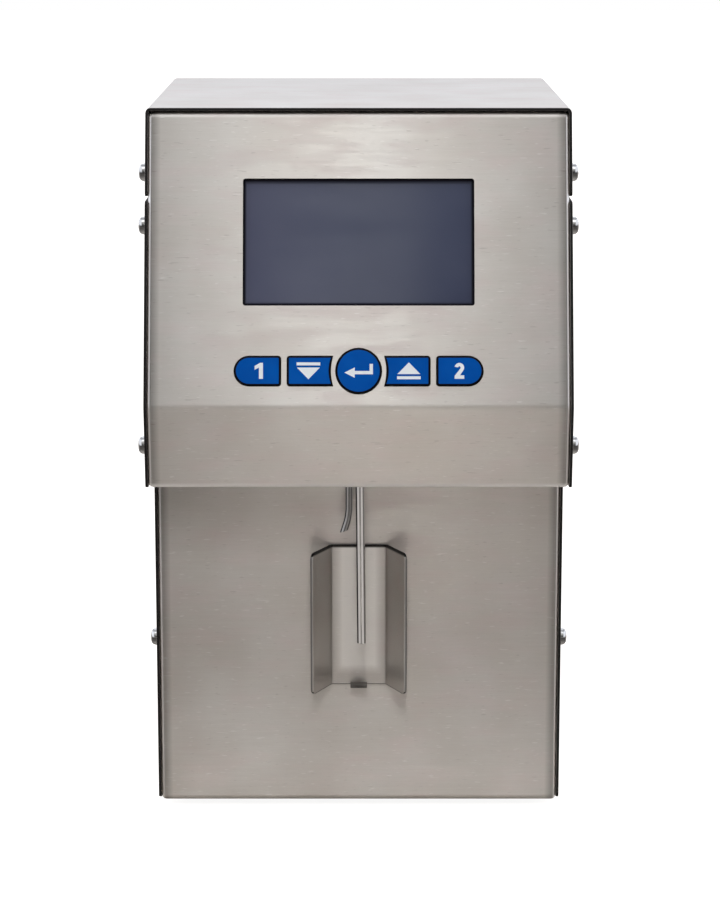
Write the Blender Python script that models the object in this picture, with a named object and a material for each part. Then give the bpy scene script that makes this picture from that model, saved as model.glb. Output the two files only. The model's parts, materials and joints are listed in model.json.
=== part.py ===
"""Milk analyzer: a bench instrument in folded stainless sheet, with a sloping head over a cup cradle.

Metres, +Z up, front towards -Y, origin under the middle of the whole object, on the table.
Most places are given in the case frame: y = 0 is the face of the lower front panel, z = 0 its
bottom edge. The head's own features are given in the face frame: across, up the slope from the
crease, and out of the sheet.
"""
import bpy
import bmesh
from math import atan2, cos, hypot, pi, radians, sin, tan
from mathutils import Matrix, Vector

mm = 0.001

# Fits and cuts
gap = 0.3 * mm
overrun = 4.0 * mm

# Case: the side outline and the sheets
case_width = 142.0 * mm
case_height = 246.4 * mm
shell_depth = 126.0 * mm
crease_reach = 44.0 * mm
brow_reach = 16.0 * mm
lip_reach = 40.4 * mm
crease_drop = 95.9 * mm
strip_height = 28.1 * mm
cover_sheet = 1.0 * mm
panel_sheet = 1.2 * mm
bend_radius = 1.5 * mm
lip_radius = 2.2 * mm
crease_radius = 5.0 * mm
flange_depth = 12.0 * mm
lid_gap = 0.7 * mm
lid_flange_height = 28.7 * mm
lid_bend_radius = 1.6 * mm
cover_split = 1.6 * mm
cover_lift = 1.0 * mm
cover_corner_radius = 1.6 * mm
lap_root = 8.0 * mm
lap_height = 6.0 * mm
wall_overlap = 9.0 * mm

# Case screws: places from the top, the lip or the foot, and how far in from the cover's edge
screw_radius = 1.5 * mm
screw_head_radius = 3.0 * mm
screw_head_height = 2.1 * mm
screw_head_shares = ((1.0, 0.0), (1.0, 0.35), (0.86, 0.72), (0.5, 1.0))
screw_length = 6.0 * mm
screw_inset = 6.0 * mm
lid_screw_drop = 21.4 * mm
upper_screw_drop = 38.6 * mm
strip_screw_rise = 13.8 * mm
lower_screw_height = 58.7 * mm
rear_upper_screw_drop = 50.4 * mm
rear_lower_screw_height = 40.0 * mm

# Feet
foot_height = 3.0 * mm
foot_radius = 6.5 * mm
foot_shares = ((0.88, 0.0), (1.0, 0.25), (0.92, 1.0))
foot_plug_radius = 2.4 * mm
foot_plug_height = 3.0 * mm
foot_inset = 16.0 * mm
foot_setback = 22.0 * mm

# Rear panel
vent_length = 26.0 * mm
vent_height = 2.6 * mm
vent_pitch = 6.5 * mm
vent_rows = 7
vent_columns = 3
vent_spacing = 34.0 * mm
vent_drop = 32.4 * mm
vent_end_share = 0.48

# Cup cradle
cradle_facet = 18.8 * mm
cradle_reach = 15.0 * mm
cradle_spread = 33.6 * mm
cradle_drop = 28.8 * mm
cradle_height = 50.3 * mm
cradle_sheet = 1.0 * mm
cradle_bend_radius = 0.8 * mm
cradle_corner_radius = 2.0 * mm
lug_width = 5.8 * mm
lug_reach = 5.0 * mm

# Display, from the crease up the slope, and its module behind the window
window_width = 76.7 * mm
window_height = 42.5 * mm
window_centre_rise = 55.0 * mm
window_corner_radius = 0.8 * mm
pane_sheet = 1.5 * mm
pane_lap = 3.0 * mm
glass_margin = 1.2 * mm
glass_sheet = 1.8 * mm
glass_lap = 3.0 * mm
bezel_wall = 3.6 * mm
bezel_depth = 5.0 * mm
bezel_lip = 1.0 * mm
display_board_side_margin = 5.6 * mm
display_board_end_margin = 6.7 * mm
board_sheet = 1.6 * mm
stud_radius = 2.5 * mm
stud_inset = 3.6 * mm

# Keys, in a row on the face
key_row_rise = 11.95 * mm
key_height = 9.5 * mm
end_key_width = 15.0 * mm
end_key_centre = 33.4 * mm
arrow_key_width = 14.7 * mm
arrow_key_centre = 16.05 * mm
arrow_key_scoop = 0.8 * mm
round_key_radius = 7.4 * mm
key_corner_radius = 0.7 * mm
key_stand = 0.9 * mm
key_chamfer = 0.35 * mm
key_clearance = 0.35 * mm
key_rim_reach = 0.6 * mm
key_rim_sheet = 1.2 * mm
key_travel = 0.8 * mm
key_stem_radius = 1.6 * mm
key_stem_catch = 0.6 * mm
switch_width = 6.0 * mm
switch_height = 4.0 * mm
switch_floor = 1.2 * mm
keypad_board_width = 100.0 * mm
keypad_board_height = 16.0 * mm

# Tubes that hang from the head
sample_tube_radius = 1.5 * mm
sample_tube_bore_radius = 1.1 * mm
sample_tube_setback = 17.0 * mm
sample_tube_place = 0.4 * mm
sample_tube_reach = 59.7 * mm
sample_tube_tip_drift = 0.6 * mm
tube_rise = 20.3 * mm
collar_radius = 6.6 * mm
collar_flange_radius = 9.0 * mm
collar_flange_sheet = 1.4 * mm
collar_height = 9.0 * mm
return_tube_radius = 1.2 * mm
return_tube_bore_radius = 0.8 * mm
return_tube_place = 3.3 * mm
return_tube_setback = 12.0 * mm
return_tube_straight = 15.9 * mm
return_tube_reach = 22.2 * mm
return_tube_tip_drift = 2.1 * mm

# Mounting deck
deck_drop = 18.4 * mm
deck_sheet = 1.2 * mm
deck_flange = 10.0 * mm
deck_side_room = 3.0 * mm

# Measuring cell, along X on the deck
cell_length = 32.0 * mm
cell_width = 20.0 * mm
cell_height = 20.0 * mm
cell_hose_room = 1.9 * mm
cell_setback = 24.0 * mm
cell_leg_height = 12.0 * mm
cell_leg_width = 4.0 * mm
cell_leg_depth = 13.0 * mm
nipple_radius = 1.6 * mm
nipple_height = 6.0 * mm
nipple_inset = 8.0 * mm
transducer_radius = 8.0 * mm
transducer_rim_radius = 9.0 * mm
transducer_length = 8.0 * mm
transducer_rim_sheet = 2.0 * mm
cell_corner_radius = 3.0 * mm

# Hoses
hose_radius = 2.5 * mm
intake_hose_pull = 48.0 * mm
feed_hose_pull = 26.0 * mm
drain_hose_pull = 40.0 * mm
drain_hose_drop = 24.0 * mm
hose_lead = 8.0 * mm

# Peristaltic pump, its axis along X
pump_back_room = 48.0 * mm
pump_rise = 36.0 * mm
pump_depth = 15.0 * mm
roller_orbit = 11.0 * mm
roller_radius = 5.0 * mm
roller_pin_radius = 1.5 * mm
roller_count = 3
rotor_disc_radius = 14.0 * mm
rotor_disc_sheet = 2.0 * mm
rotor_hub_radius = 4.0 * mm
shaft_radius = 2.5 * mm
shaft_catch = 10.0 * mm
track_wall = 5.0 * mm
track_front_reach = 16.0 * mm
pump_cover_sheet = 2.0 * mm
bracket_sheet = 2.0 * mm
bracket_base = 34.0 * mm
bracket_margin = 4.0 * mm
motor_radius = 16.0 * mm
motor_length = 26.0 * mm
gearbox_radius = 18.0 * mm
gearbox_length = 14.0 * mm
motor_tail_radius = 5.0 * mm
motor_tail_length = 3.0 * mm

# Main board, lying over the floor
main_board_side_room = 25.0 * mm
main_board_front_room = 20.0 * mm
main_board_back_room = 22.0 * mm
main_board_height = 8.0 * mm
chip_width = 14.0 * mm
chip_height = 2.0 * mm
chip_place_shares = ((-0.2, -0.1), (0.1, 0.12))
capacitor_radius = 5.0 * mm
capacitor_height = 14.0 * mm
capacitor_side_inset = 11.0 * mm
capacitor_back_inset = 17.0 * mm
capacitor_pitch = 13.0 * mm

# Ribbon cable
ribbon_width = 26.0 * mm
ribbon_sheet = 1.0 * mm
ribbon_bend_radius = 5.0 * mm
ribbon_setback = 6.0 * mm
ribbon_turn_height = 40.0 * mm
slot_room = 2.0 * mm
header_height = 6.0 * mm
header_depth = 5.0 * mm
header_wall = 2.0 * mm
header_inset = 6.0 * mm
header_end_room = 2.0 * mm

# Sockets and switch, in a row on the rear panel
socket_row_drop = 42.0 * mm
socket_row_margin = 10.0 * mm
switch_bezel_width = 15.0 * mm
switch_bezel_height = 21.0 * mm
switch_bezel_sheet = 2.0 * mm
switch_body_width = 13.0 * mm
switch_body_height = 19.0 * mm
switch_body_depth = 14.0 * mm
rocker_width = 9.4 * mm
rocker_height = 15.0 * mm
rocker_end_rise = 1.9 * mm
rocker_middle_rise = 0.9 * mm
rocker_heel_share = 0.25
rocker_pivot_depth = 1.0 * mm
rocker_depth = 5.0 * mm
rocker_tilt = radians(9.0)
rocker_pin_radius = 1.2 * mm
rocker_pin_catch = 1.0 * mm
inlet_nut_radius = 7.0 * mm
inlet_nut_sheet = 2.5 * mm
inlet_body_radius = 5.5 * mm
inlet_body_depth = 12.0 * mm
inlet_bore_radius = 3.2 * mm
inlet_bore_depth = 10.0 * mm
inlet_pin_radius = 1.0 * mm
port_flange_width = 31.0 * mm
port_flange_height = 12.5 * mm
port_flange_sheet = 1.0 * mm
port_shell_width = 17.0 * mm
port_shell_height = 8.4 * mm
port_shell_stand = 5.5 * mm
port_shell_sheet = 0.8 * mm
port_recess = 0.6 * mm
port_slope_share = 0.12
port_body_depth = 10.0 * mm
port_post_radius = 2.3 * mm
port_post_place = 12.5 * mm

# Roundness
least_radius_share = 0.2
nut_sides = 6
weld_distance = 0.001 * mm
fine_steps = 4
hose_steps = 10
bend_steps = 3
screw_sides = 10
tube_sides = 12
disc_sides = 32

# Worked out from the sizes above
panel_width = case_width - 2 * cover_sheet - 2 * gap
fascia_top = case_height - cover_sheet - lid_gap
crease_height = case_height - crease_drop
lip_height = crease_height - strip_height
face_tilt = atan2(crease_reach - brow_reach, fascia_top - crease_height)
rear_inner = shell_depth - panel_sheet
glass_width = window_width + 2 * glass_margin
glass_height = window_height + 2 * glass_margin
bezel_width = glass_width + 2 * gap + 2 * bezel_wall
bezel_height = glass_height + 2 * gap + 2 * bezel_wall
display_board_width = bezel_width + 2 * display_board_side_margin
display_board_height = bezel_height + 2 * display_board_end_margin
deck_height = lip_height - deck_drop
deck_top = deck_height + deck_sheet
cradle_top_height = lip_height - cradle_drop
cradle_foot_height = cradle_top_height - cradle_height
collar_top = lip_height - gap - collar_flange_sheet + collar_height
tube_top_height = collar_top + tube_rise
lid_foot = case_height - lid_flange_height
side_cover_top = lid_foot - cover_split
hose_orbit = roller_orbit + roller_radius + gap + hose_radius
track_radius = hose_orbit + hose_radius + gap
pump_height = deck_top + pump_rise
pump_setback = shell_depth - pump_back_room
bracket_face = pump_depth / 2 + gap
gearbox_face = bracket_face + bracket_sheet + gap
cell_right_end = return_tube_place + hose_radius + cell_hose_room + gap + transducer_length
main_board_width = case_width - 2 * main_board_side_room
main_board_depth = shell_depth - main_board_front_room - main_board_back_room
main_board_setback = main_board_front_room + main_board_depth / 2
ribbon_place = main_board_width / 2 - header_end_room - header_wall - ribbon_width / 2
header_drop = -display_board_height / 2 + header_inset
socket_row_height = deck_height - socket_row_drop
back_reach = port_shell_stand
face_y = (crease_reach - shell_depth - back_reach) / 2


# Outlines

def corner_point(before, corner, after, distance):
    """The corner of an outline after both its edges have moved left by a distance."""
    first = (corner - before).normalized()
    second = (after - corner).normalized()
    half = Vector((-first.y - second.y, first.x + second.x))
    side = Vector((-first.y, first.x))
    return corner + half * (distance / half.dot(side))


def inset_outline(points, distance):
    """A counter-clockwise outline drawn in by a distance."""
    corners = [Vector(point) for point in points]
    count = len(corners)
    return [corner_point(corners[i - 1], corners[i], corners[(i + 1) % count], distance)
            for i in range(count)]


def fillet(before, corner, after, radius, steps):
    """Points of an arc that rounds one corner."""
    if radius <= 0:
        return [corner.copy() for step in range(steps + 1)]
    first = (before - corner).normalized()
    second = (after - corner).normalized()
    half_angle = first.angle(second) / 2
    middle = corner + (first + second).normalized() * (radius / sin(half_angle))
    start = corner + first * (radius / tan(half_angle)) - middle
    end = corner + second * (radius / tan(half_angle)) - middle
    turn = start.angle_signed(end)
    points = []
    for step in range(steps + 1):
        angle = -turn * step / steps
        points.append(middle + Vector((start.x * cos(angle) - start.y * sin(angle),
                                       start.x * sin(angle) + start.y * cos(angle))))
    return points


def rounded(points, radii, steps):
    """An outline with its corners rounded; a corner of radius 0 stays one point."""
    corners = [Vector(point) for point in points]
    count = len(corners)
    outline = []
    for i, radius in enumerate(radii):
        if radius > 0:
            outline += fillet(corners[i - 1], corners[i], corners[(i + 1) % count], radius, steps)
        else:
            outline.append(corners[i])
    return outline


def rectangle(width, height, centre=(0, 0)):
    """Corners of an upright rectangle, counter-clockwise."""
    x, y = centre
    return [(x - width / 2, y - height / 2), (x + width / 2, y - height / 2),
            (x + width / 2, y + height / 2), (x - width / 2, y + height / 2)]


def rounded_rectangle(width, height, radius, centre=(0, 0), steps=bend_steps):
    return rounded(rectangle(width, height, centre), [radius] * 4, steps)


def circle(radius, centre=(0, 0), sides=tube_sides):
    x, y = centre
    return [(x + radius * cos(2 * pi * i / sides), y + radius * sin(2 * pi * i / sides))
            for i in range(sides)]


def ribbon(path, sheet, bend, steps=bend_steps):
    """Closed outline of a bent sheet, with the path along its right side and its wall to the left."""
    corners = [Vector(point) for point in path]
    last = len(corners) - 1
    near = [corners[0]]
    far_start = (corners[1] - corners[0]).normalized()
    far = [corners[0] + Vector((-far_start.y, far_start.x)) * sheet]
    for i in range(1, last):
        shifted = corner_point(corners[i - 1], corners[i], corners[i + 1], sheet)
        left_turn = (corners[i] - corners[i - 1]).cross(corners[i + 1] - corners[i]) > 0
        near_bend = bend + sheet if left_turn else bend
        far_bend = bend if left_turn else bend + sheet
        before_side = corners[i - 1] - corners[i]
        after_side = corners[i + 1] - corners[i]
        near += fillet(corners[i - 1], corners[i], corners[i + 1], near_bend, steps)
        far += fillet(shifted + before_side, shifted, shifted + after_side, far_bend, steps)
    far_end = (corners[last] - corners[last - 1]).normalized()
    near.append(corners[last])
    far.append(corners[last] + Vector((-far_end.y, far_end.x)) * sheet)
    return near + far[::-1]


# Solids

def new_object(name, mesh, material=None):
    """An object in the scene, its faces pointing out."""
    work = bmesh.new()
    work.from_mesh(mesh)
    bmesh.ops.recalc_face_normals(work, faces=work.faces)
    work.to_mesh(mesh)
    work.free()
    thing = bpy.data.objects.new(name, mesh)
    bpy.context.scene.collection.objects.link(thing)
    if material:
        mesh.materials.append(material)
    return thing


def loft(name, sections, material=None):
    """Closed solid through outlines that have equally many points, given as 3-D points."""
    mesh = bpy.data.meshes.new(name)
    work = bmesh.new()
    rings = [[work.verts.new(point) for point in section] for section in sections]
    count = len(rings[0])
    for low, high in zip(rings, rings[1:]):
        for i in range(count):
            j = (i + 1) % count
            work.faces.new((low[i], low[j], high[j], high[i]))
    work.faces.new(rings[0][::-1])
    work.faces.new(rings[-1])
    work.to_mesh(mesh)
    work.free()
    return new_object(name, mesh, material)


def on_axis(axis, point, level):
    """A 3-D point from an outline's point and its level on the axis that the outline faces."""
    a, b = point
    if axis == "X":
        return (level, a, b)
    if axis == "Y":
        return (a, level, b)
    return (a, b, level)


def prism(name, outline, axis, low, high, material=None):
    """An outline carried along an axis: (y, z) along X, (x, z) along Y, (x, y) along Z."""
    sections = [[on_axis(axis, point, level) for point in outline] for level in (low, high)]
    return loft(name, sections, material)


def block(name, x, y, z, material=None):
    """A box between two values on each axis."""
    return prism(name, [(x[0], y[0]), (x[1], y[0]), (x[1], y[1]), (x[0], y[1])], "Z", z[0], z[1],
                 material)


def pan(name, corners, radii, half_width, bend, material=None):
    """A side outline carried along X, drawn in at both ends as sheet is bent round a corner."""
    sections = []
    for side in (-1, 1):
        steps = range(bend_steps + 1) if side < 0 else range(bend_steps, -1, -1)
        for step in steps:
            angle = pi / 2 * step / bend_steps
            inset = bend * (1 - sin(angle))
            across = half_width - bend * (1 - cos(angle))
            shape = rounded(inset_outline(corners, inset),
                            [max(radius - inset, least_radius_share * radius) for radius in radii],
                            fine_steps)
            sections.append([(side * across, point.x, point.y) for point in shape])
    return loft(name, sections, material)


def turned(name, profile, sides, material=None, axis="Z"):
    """A closed solid of revolution about an axis through its origin; the profile is (radius, along)."""
    sections = []
    for radius, along in profile:
        sections.append([on_axis(axis, point, along) for point in circle(radius, sides=sides)])
    return loft(name, sections, material)


def close_seams(thing):
    """Join the points that a Boolean leaves side by side."""
    work = bmesh.new()
    work.from_mesh(thing.data)
    bmesh.ops.remove_doubles(work, verts=work.verts, dist=weld_distance)
    bmesh.ops.dissolve_degenerate(work, edges=work.edges, dist=weld_distance)
    work.to_mesh(thing.data)
    work.free()
    return thing


def combine(target, tool, operation):
    """Apply a Boolean of one solid on another, and take the tool away."""
    modifier = target.modifiers.new(operation.lower(), "BOOLEAN")
    modifier.operation = operation
    modifier.object = tool
    bpy.context.view_layer.update()
    shape = target.evaluated_get(bpy.context.evaluated_depsgraph_get())
    mesh = bpy.data.meshes.new_from_object(shape)
    target.modifiers.clear()
    target.data = mesh
    bpy.data.objects.remove(tool)
    return close_seams(target)


def cut(target, *tools):
    for tool in tools:
        combine(target, tool, "DIFFERENCE")
    return target


def weld(target, *tools):
    for tool in tools:
        combine(target, tool, "UNION")
    return target


def gather(name, things):
    """One object from solids that stay clear of each other, to cut with in one go."""
    work = bmesh.new()
    for thing in things:
        copy = thing.data.copy()
        copy.transform(thing.matrix_world)
        work.from_mesh(copy)
        bpy.data.objects.remove(thing)
    mesh = bpy.data.meshes.new(name)
    work.to_mesh(mesh)
    work.free()
    return new_object(name, mesh)


def turn_mesh(thing, matrix):
    """Move a solid's mesh, with its object left where it is."""
    thing.data.transform(matrix)
    return thing


def smooth(thing, angle=radians(35)):
    thing.data.shade_smooth()
    thing.data.set_sharp_from_angle(angle=angle)
    return thing


def place(thing, datum, matrix=None):
    """Parent a finished piece to a datum, and set where it stands there."""
    thing.parent = datum
    thing.matrix_basis = matrix or Matrix.Identity(4)
    return smooth(thing)


def finish(name, colour, roughness, metallic):
    """A plain Principled material."""
    material = bpy.data.materials.new(name)
    material.use_nodes = True
    shader = material.node_tree.nodes["Principled BSDF"]
    shader.inputs["Base Color"].default_value = (*colour, 1.0)
    shader.inputs["Roughness"].default_value = roughness
    shader.inputs["Metallic"].default_value = metallic
    return material


# Places on the case

def face_frame(across=0, rise=0, out=0):
    """Matrix from the face frame (across, up the slope, out of the sheet) to the case frame."""
    up = Vector((0, sin(face_tilt), cos(face_tilt)))
    outward = Vector((0, -cos(face_tilt), sin(face_tilt)))
    origin = Vector((across, -crease_reach, crease_height)) + up * rise + outward * out
    return Matrix(((1, 0, 0, origin.x),
                   (0, up.y, outward.y, origin.y),
                   (0, up.z, outward.z, origin.z),
                   (0, 0, 0, 1)))


def face_front(height):
    """How far back the sloping face lies at a height on the case."""
    return -crease_reach + (height - crease_height) * tan(face_tilt)


def strip_front(height):
    """How far back the plain strip under the crease lies at a height on the case."""
    share = (height - lip_height) / (crease_height - lip_height)
    return -lip_reach - (crease_reach - lip_reach) * share


def foot_place(side, end):
    """Middle of the foot on the left or right (-1, 1) and at the front or back (-1, 1)."""
    return (side * (case_width / 2 - foot_inset),
            shell_depth / 2 + end * (shell_depth / 2 - foot_setback))


def foot_places():
    return [foot_place(side, end) for side in (-1, 1) for end in (-1, 1)]


def socket_row():
    """Middles along X of what stands in the row on the rear panel, evenly apart."""
    widths = {"data_port_2": port_flange_width, "data_port_1": port_flange_width,
              "power_inlet": 2 * inlet_nut_radius, "power_switch": switch_bezel_width}
    room = case_width - 2 * socket_row_margin - sum(widths.values())
    space = room / (len(widths) - 1)
    row = {}
    edge = -case_width / 2 + socket_row_margin
    for name, width in widths.items():
        row[name] = edge + width / 2
        edge += width + space
    return row


def screw_places():
    """Where the case screws stand, as (y, z), by name and by the sheets that they join."""
    back = shell_depth - screw_inset
    lid_height = case_height - lid_screw_drop
    upper_height = case_height - upper_screw_drop
    middle_height = lip_height + strip_screw_rise
    return {
        "lid_front": (face_front(lid_height) + screw_inset, lid_height),
        "lid_rear": (back, lid_height),
        "side_upper": (face_front(upper_height) + screw_inset, upper_height),
        "side_middle": (strip_front(middle_height) + screw_inset, middle_height),
        "side_lower": (screw_inset, lower_screw_height),
        "side_rear_upper": (back, case_height - rear_upper_screw_drop),
        "side_rear_lower": (back, rear_lower_screw_height),
    }


def screw_holes(*names):
    """Cutters for the screws of these names, right across the case."""
    places = screw_places()
    reach = case_width / 2 + overrun
    rods = [prism(name, circle(screw_radius + gap, places[name], screw_sides), "X", -reach, reach)
            for name in names]
    return gather("screw_holes", rods)


def face_post(across, rise, depth):
    """A weld stud on the back of the sloping face, to a depth behind its front."""
    post = prism("post", circle(stud_radius, (across, rise)), "Z", -depth, -panel_sheet / 2)
    return turn_mesh(post, face_frame())


# Key outlines, each round its own middle, in the face frame

def mirrored(points):
    return [Vector((-point.x, point.y)) for point in reversed(points)]


def end_key_outline(grow):
    """Round on the left, square on the right."""
    radius = key_height / 2 + grow
    right = end_key_width / 2 + grow
    middle = -end_key_width / 2 + key_height / 2
    corner = key_corner_radius + max(grow, -key_corner_radius / 2)
    turns = [2 * pi * i / disc_sides for i in range(-disc_sides // 4, disc_sides // 4 + 1)]
    arc = [Vector((middle - radius * cos(turn), radius * sin(turn))) for turn in turns]
    upper = fillet(arc[-1], Vector((right, radius)), Vector((right, -radius)), corner, bend_steps)
    lower = fillet(Vector((right, radius)), Vector((right, -radius)), arc[0], corner, bend_steps)
    return arc + upper + lower


def arrow_key_outline(grow):
    """Square on the left, with a shallow scoop on the right, beside the round key."""
    left = -arrow_key_width / 2 - grow
    right = arrow_key_width / 2 + grow
    half = key_height / 2 + grow
    corner = key_corner_radius + max(grow, -key_corner_radius / 2)
    scoop_radius = (half ** 2 + arrow_key_scoop ** 2) / (2 * arrow_key_scoop)
    reach = atan2(half, scoop_radius - arrow_key_scoop)
    middle = right - arrow_key_scoop + scoop_radius
    steps = 2 * fine_steps
    scoop = [Vector((middle - scoop_radius * cos(reach * (2 * i / steps - 1)),
                     -scoop_radius * sin(reach * (2 * i / steps - 1)))) for i in range(steps + 1)]
    lower = fillet(scoop[-1], Vector((left, -half)), Vector((left, half)), corner, bend_steps)
    upper = fillet(Vector((left, -half)), Vector((left, half)), scoop[0], corner, bend_steps)
    return scoop + lower + upper


def round_key_outline(grow):
    return [Vector(point) for point in circle(round_key_radius + grow, sides=disc_sides)]


def key_table():
    """Each key's place across the face and its outline as a function of how far it is grown."""
    return {
        "key_one": (-end_key_centre, end_key_outline),
        "key_down": (-arrow_key_centre, arrow_key_outline),
        "key_enter": (0, round_key_outline),
        "key_up": (arrow_key_centre, lambda grow: mirrored(arrow_key_outline(grow))),
        "key_two": (end_key_centre, lambda grow: mirrored(end_key_outline(grow))),
    }


# Depths behind the front of the sloping face

pane_front = panel_sheet + gap
bezel_front = pane_front + pane_sheet + gap
display_board_front = bezel_front + bezel_depth + gap
key_rim_back = panel_sheet + gap + key_rim_sheet
switch_front = key_rim_back + key_travel + gap
keypad_board_front = switch_front + switch_height


# Case

def head_corners():
    """Side outline of the head, from the lip round by the back and the brow to the crease."""
    return [(-lip_reach, lip_height), (-gap, lip_height), (-gap, fascia_top),
            (-brow_reach, fascia_top), (-crease_reach, crease_height)]


def make_head_fascia(material):
    """One folded sheet: brow flange, sloping face, strip, underside and side flanges."""
    radii = [lip_radius, lip_radius, lip_radius, lip_radius, crease_radius]
    fascia = pan("head_fascia", head_corners(), radii, panel_width / 2, bend_radius, material)
    inner = pan("inner", inset_outline(head_corners(), panel_sheet),
                [radius - panel_sheet for radius in radii], panel_width / 2 - panel_sheet,
                bend_radius - panel_sheet)
    behind = inset_outline(head_corners(), flange_depth)
    behind[1].x = overrun
    behind[2].x = overrun
    side_cut = prism("side_cut", behind, "X", -case_width, case_width)
    window = prism("window", rounded_rectangle(window_width, window_height, window_corner_radius,
                                               (0, window_centre_rise)), "Z", -overrun, overrun)
    turn_mesh(window, face_frame())
    holes = []
    for name, (across, outline) in key_table().items():
        hole = prism(name + "_hole", outline(key_clearance), "Z", -overrun, overrun)
        holes.append(turn_mesh(hole, face_frame(across, key_row_rise)))
    collar_hole = prism("collar_hole", circle(collar_radius + gap, collar_middle()), "Z",
                        lip_height - overrun, lip_height + overrun)
    cut(fascia, inner, side_cut, gather("openings", [window, collar_hole] + holes),
        screw_holes("lid_front", "side_upper", "side_middle"))
    display_across = display_board_width / 2 - stud_inset
    display_rise = display_board_height / 2 - stud_inset
    posts = [face_post(side * display_across, window_centre_rise + end * display_rise,
                       display_board_front - gap) for side in (-1, 1) for end in (-1, 1)]
    posts += [face_post(side * (keypad_board_width / 2 - stud_inset), key_row_rise,
                        keypad_board_front - gap) for side in (-1, 1)]
    return weld(fascia, gather("posts", posts))


def make_front_chassis(material):
    """The lower front panel, bent back into the floor, with side flanges and a rear lip."""
    back = rear_inner - gap
    wall_top = lip_height + wall_overlap
    box_top = wall_top + overrun
    corners = [(0, 0), (back, 0), (back, box_top), (0, box_top)]
    radii = [lip_radius] * 4
    chassis = pan("front_chassis", corners, radii, panel_width / 2, bend_radius, material)
    hollow = inset_outline(corners, panel_sheet)
    hollow[2].y += overrun
    hollow[3].y += overrun
    inner = pan("inner", hollow, [radius - panel_sheet for radius in radii],
                panel_width / 2 - panel_sheet, bend_radius - panel_sheet)
    side_cut = block("side_cut", (-case_width, case_width), (flange_depth, back + overrun),
                     (flange_depth, box_top + 2 * overrun))
    top_cut = block("top_cut", (-case_width, case_width), (-overrun, flange_depth + overrun),
                    (wall_top, box_top + 3 * overrun))
    foot_holes = [prism("foot_hole", circle(foot_plug_radius + gap, spot), "Z", -overrun, overrun)
                  for spot in foot_places()]
    cut(chassis, inner, side_cut, top_cut, gather("foot_holes", foot_holes),
        screw_holes("side_lower"))
    posts = [prism("post", circle(stud_radius, spot), "Z", panel_sheet / 2, main_board_height - gap)
             for spot in main_board_posts()]
    return weld(chassis, gather("posts", posts))


def lid_channel():
    """Cross-section of the top cover, as (x, z): a sheet bent down at both sides."""
    side = case_width / 2 - cover_sheet
    low = lid_foot - overrun
    top = case_height - cover_sheet
    path = [(side, low), (side, top), (-side, top), (-side, low)]
    return ribbon([(-x, z) for x, z in path], cover_sheet, lid_bend_radius - cover_sheet)


def make_top_cover(material):
    """A channel of thin sheet, its front edges following the slope of the face."""
    cover = prism("top_cover", lid_channel(), "Y", -crease_reach, shell_depth, material)
    crown = case_height + overrun
    corners = [(face_front(lid_foot), lid_foot), (shell_depth, lid_foot),
               (shell_depth, crown), (face_front(crown), crown)]
    side_view = rounded(corners, [cover_corner_radius, cover_corner_radius, 0, 0], bend_steps)
    keep = prism("keep", side_view, "X", -case_width, case_width)
    combine(cover, keep, "INTERSECT")
    return cut(cover, screw_holes("lid_front", "lid_rear"))


def make_side_cover(name, side, material):
    """A flat sheet with the stepped side outline of the case."""
    corners = [(0, cover_lift), (shell_depth, cover_lift), (shell_depth, side_cover_top),
               (face_front(side_cover_top), side_cover_top), (-crease_reach, crease_height),
               (-lip_reach, lip_height), (0, lip_height)]
    small = cover_corner_radius
    outline = rounded(corners, [small, small, small, small, crease_radius, small, small / 2],
                      bend_steps)
    levels = sorted((side * case_width / 2, side * (case_width / 2 - cover_sheet)))
    cover = prism(name, outline, "X", levels[0], levels[1], material)
    weld(cover, side_lap(side))
    return cut(cover, screw_holes("side_upper", "side_middle", "side_lower",
                                  "side_rear_upper", "side_rear_lower"))


def side_lap(side):
    """The stepped strip on a side cover that stands behind the lid's flange."""
    outer = case_width / 2 - cover_sheet / 2
    behind = case_width / 2 - cover_sheet - gap
    inner = behind - cover_sheet
    root = side_cover_top - lap_root
    step = side_cover_top - cover_sheet / 2
    crown = lid_foot + lap_height
    outline = [(side * x, z) for x, z in ((inner, root), (outer, root), (outer, step),
                                          (behind, step), (behind, crown), (inner, crown))]
    front = face_front(root) + (flange_depth + gap) / cos(face_tilt) + lap_root
    return prism("lap", outline, "Y", front, shell_depth - flange_depth - lap_root)


def vent_slots():
    """Rows of slots with round ends, in the upper half of the rear panel."""
    slots = []
    for row in range(vent_rows):
        for column in range(vent_columns):
            middle = ((column - (vent_columns - 1) / 2) * vent_spacing,
                      case_height - vent_drop - row * vent_pitch)
            outline = rounded_rectangle(vent_length, vent_height, vent_height * vent_end_share,
                                        middle, 2)
            slots.append(prism("slot", outline, "Y", shell_depth - overrun, shell_depth + overrun))
    return slots


def socket_holes():
    """Cut-outs for the switch, the power inlet and the data sockets."""
    low, high = shell_depth - overrun, shell_depth + overrun
    row = socket_row()
    holes = [rectangle(switch_body_width + 2 * gap, switch_body_height + 2 * gap,
                       (row["power_switch"], socket_row_height)),
             circle(inlet_body_radius + gap, (row["power_inlet"], socket_row_height))]
    holes += [rectangle(port_shell_width + 2 * gap, port_shell_height + 2 * gap,
                        (row[name], socket_row_height)) for name in ("data_port_1", "data_port_2")]
    return [prism("hole", hole, "Y", low, high) for hole in holes]


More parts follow.
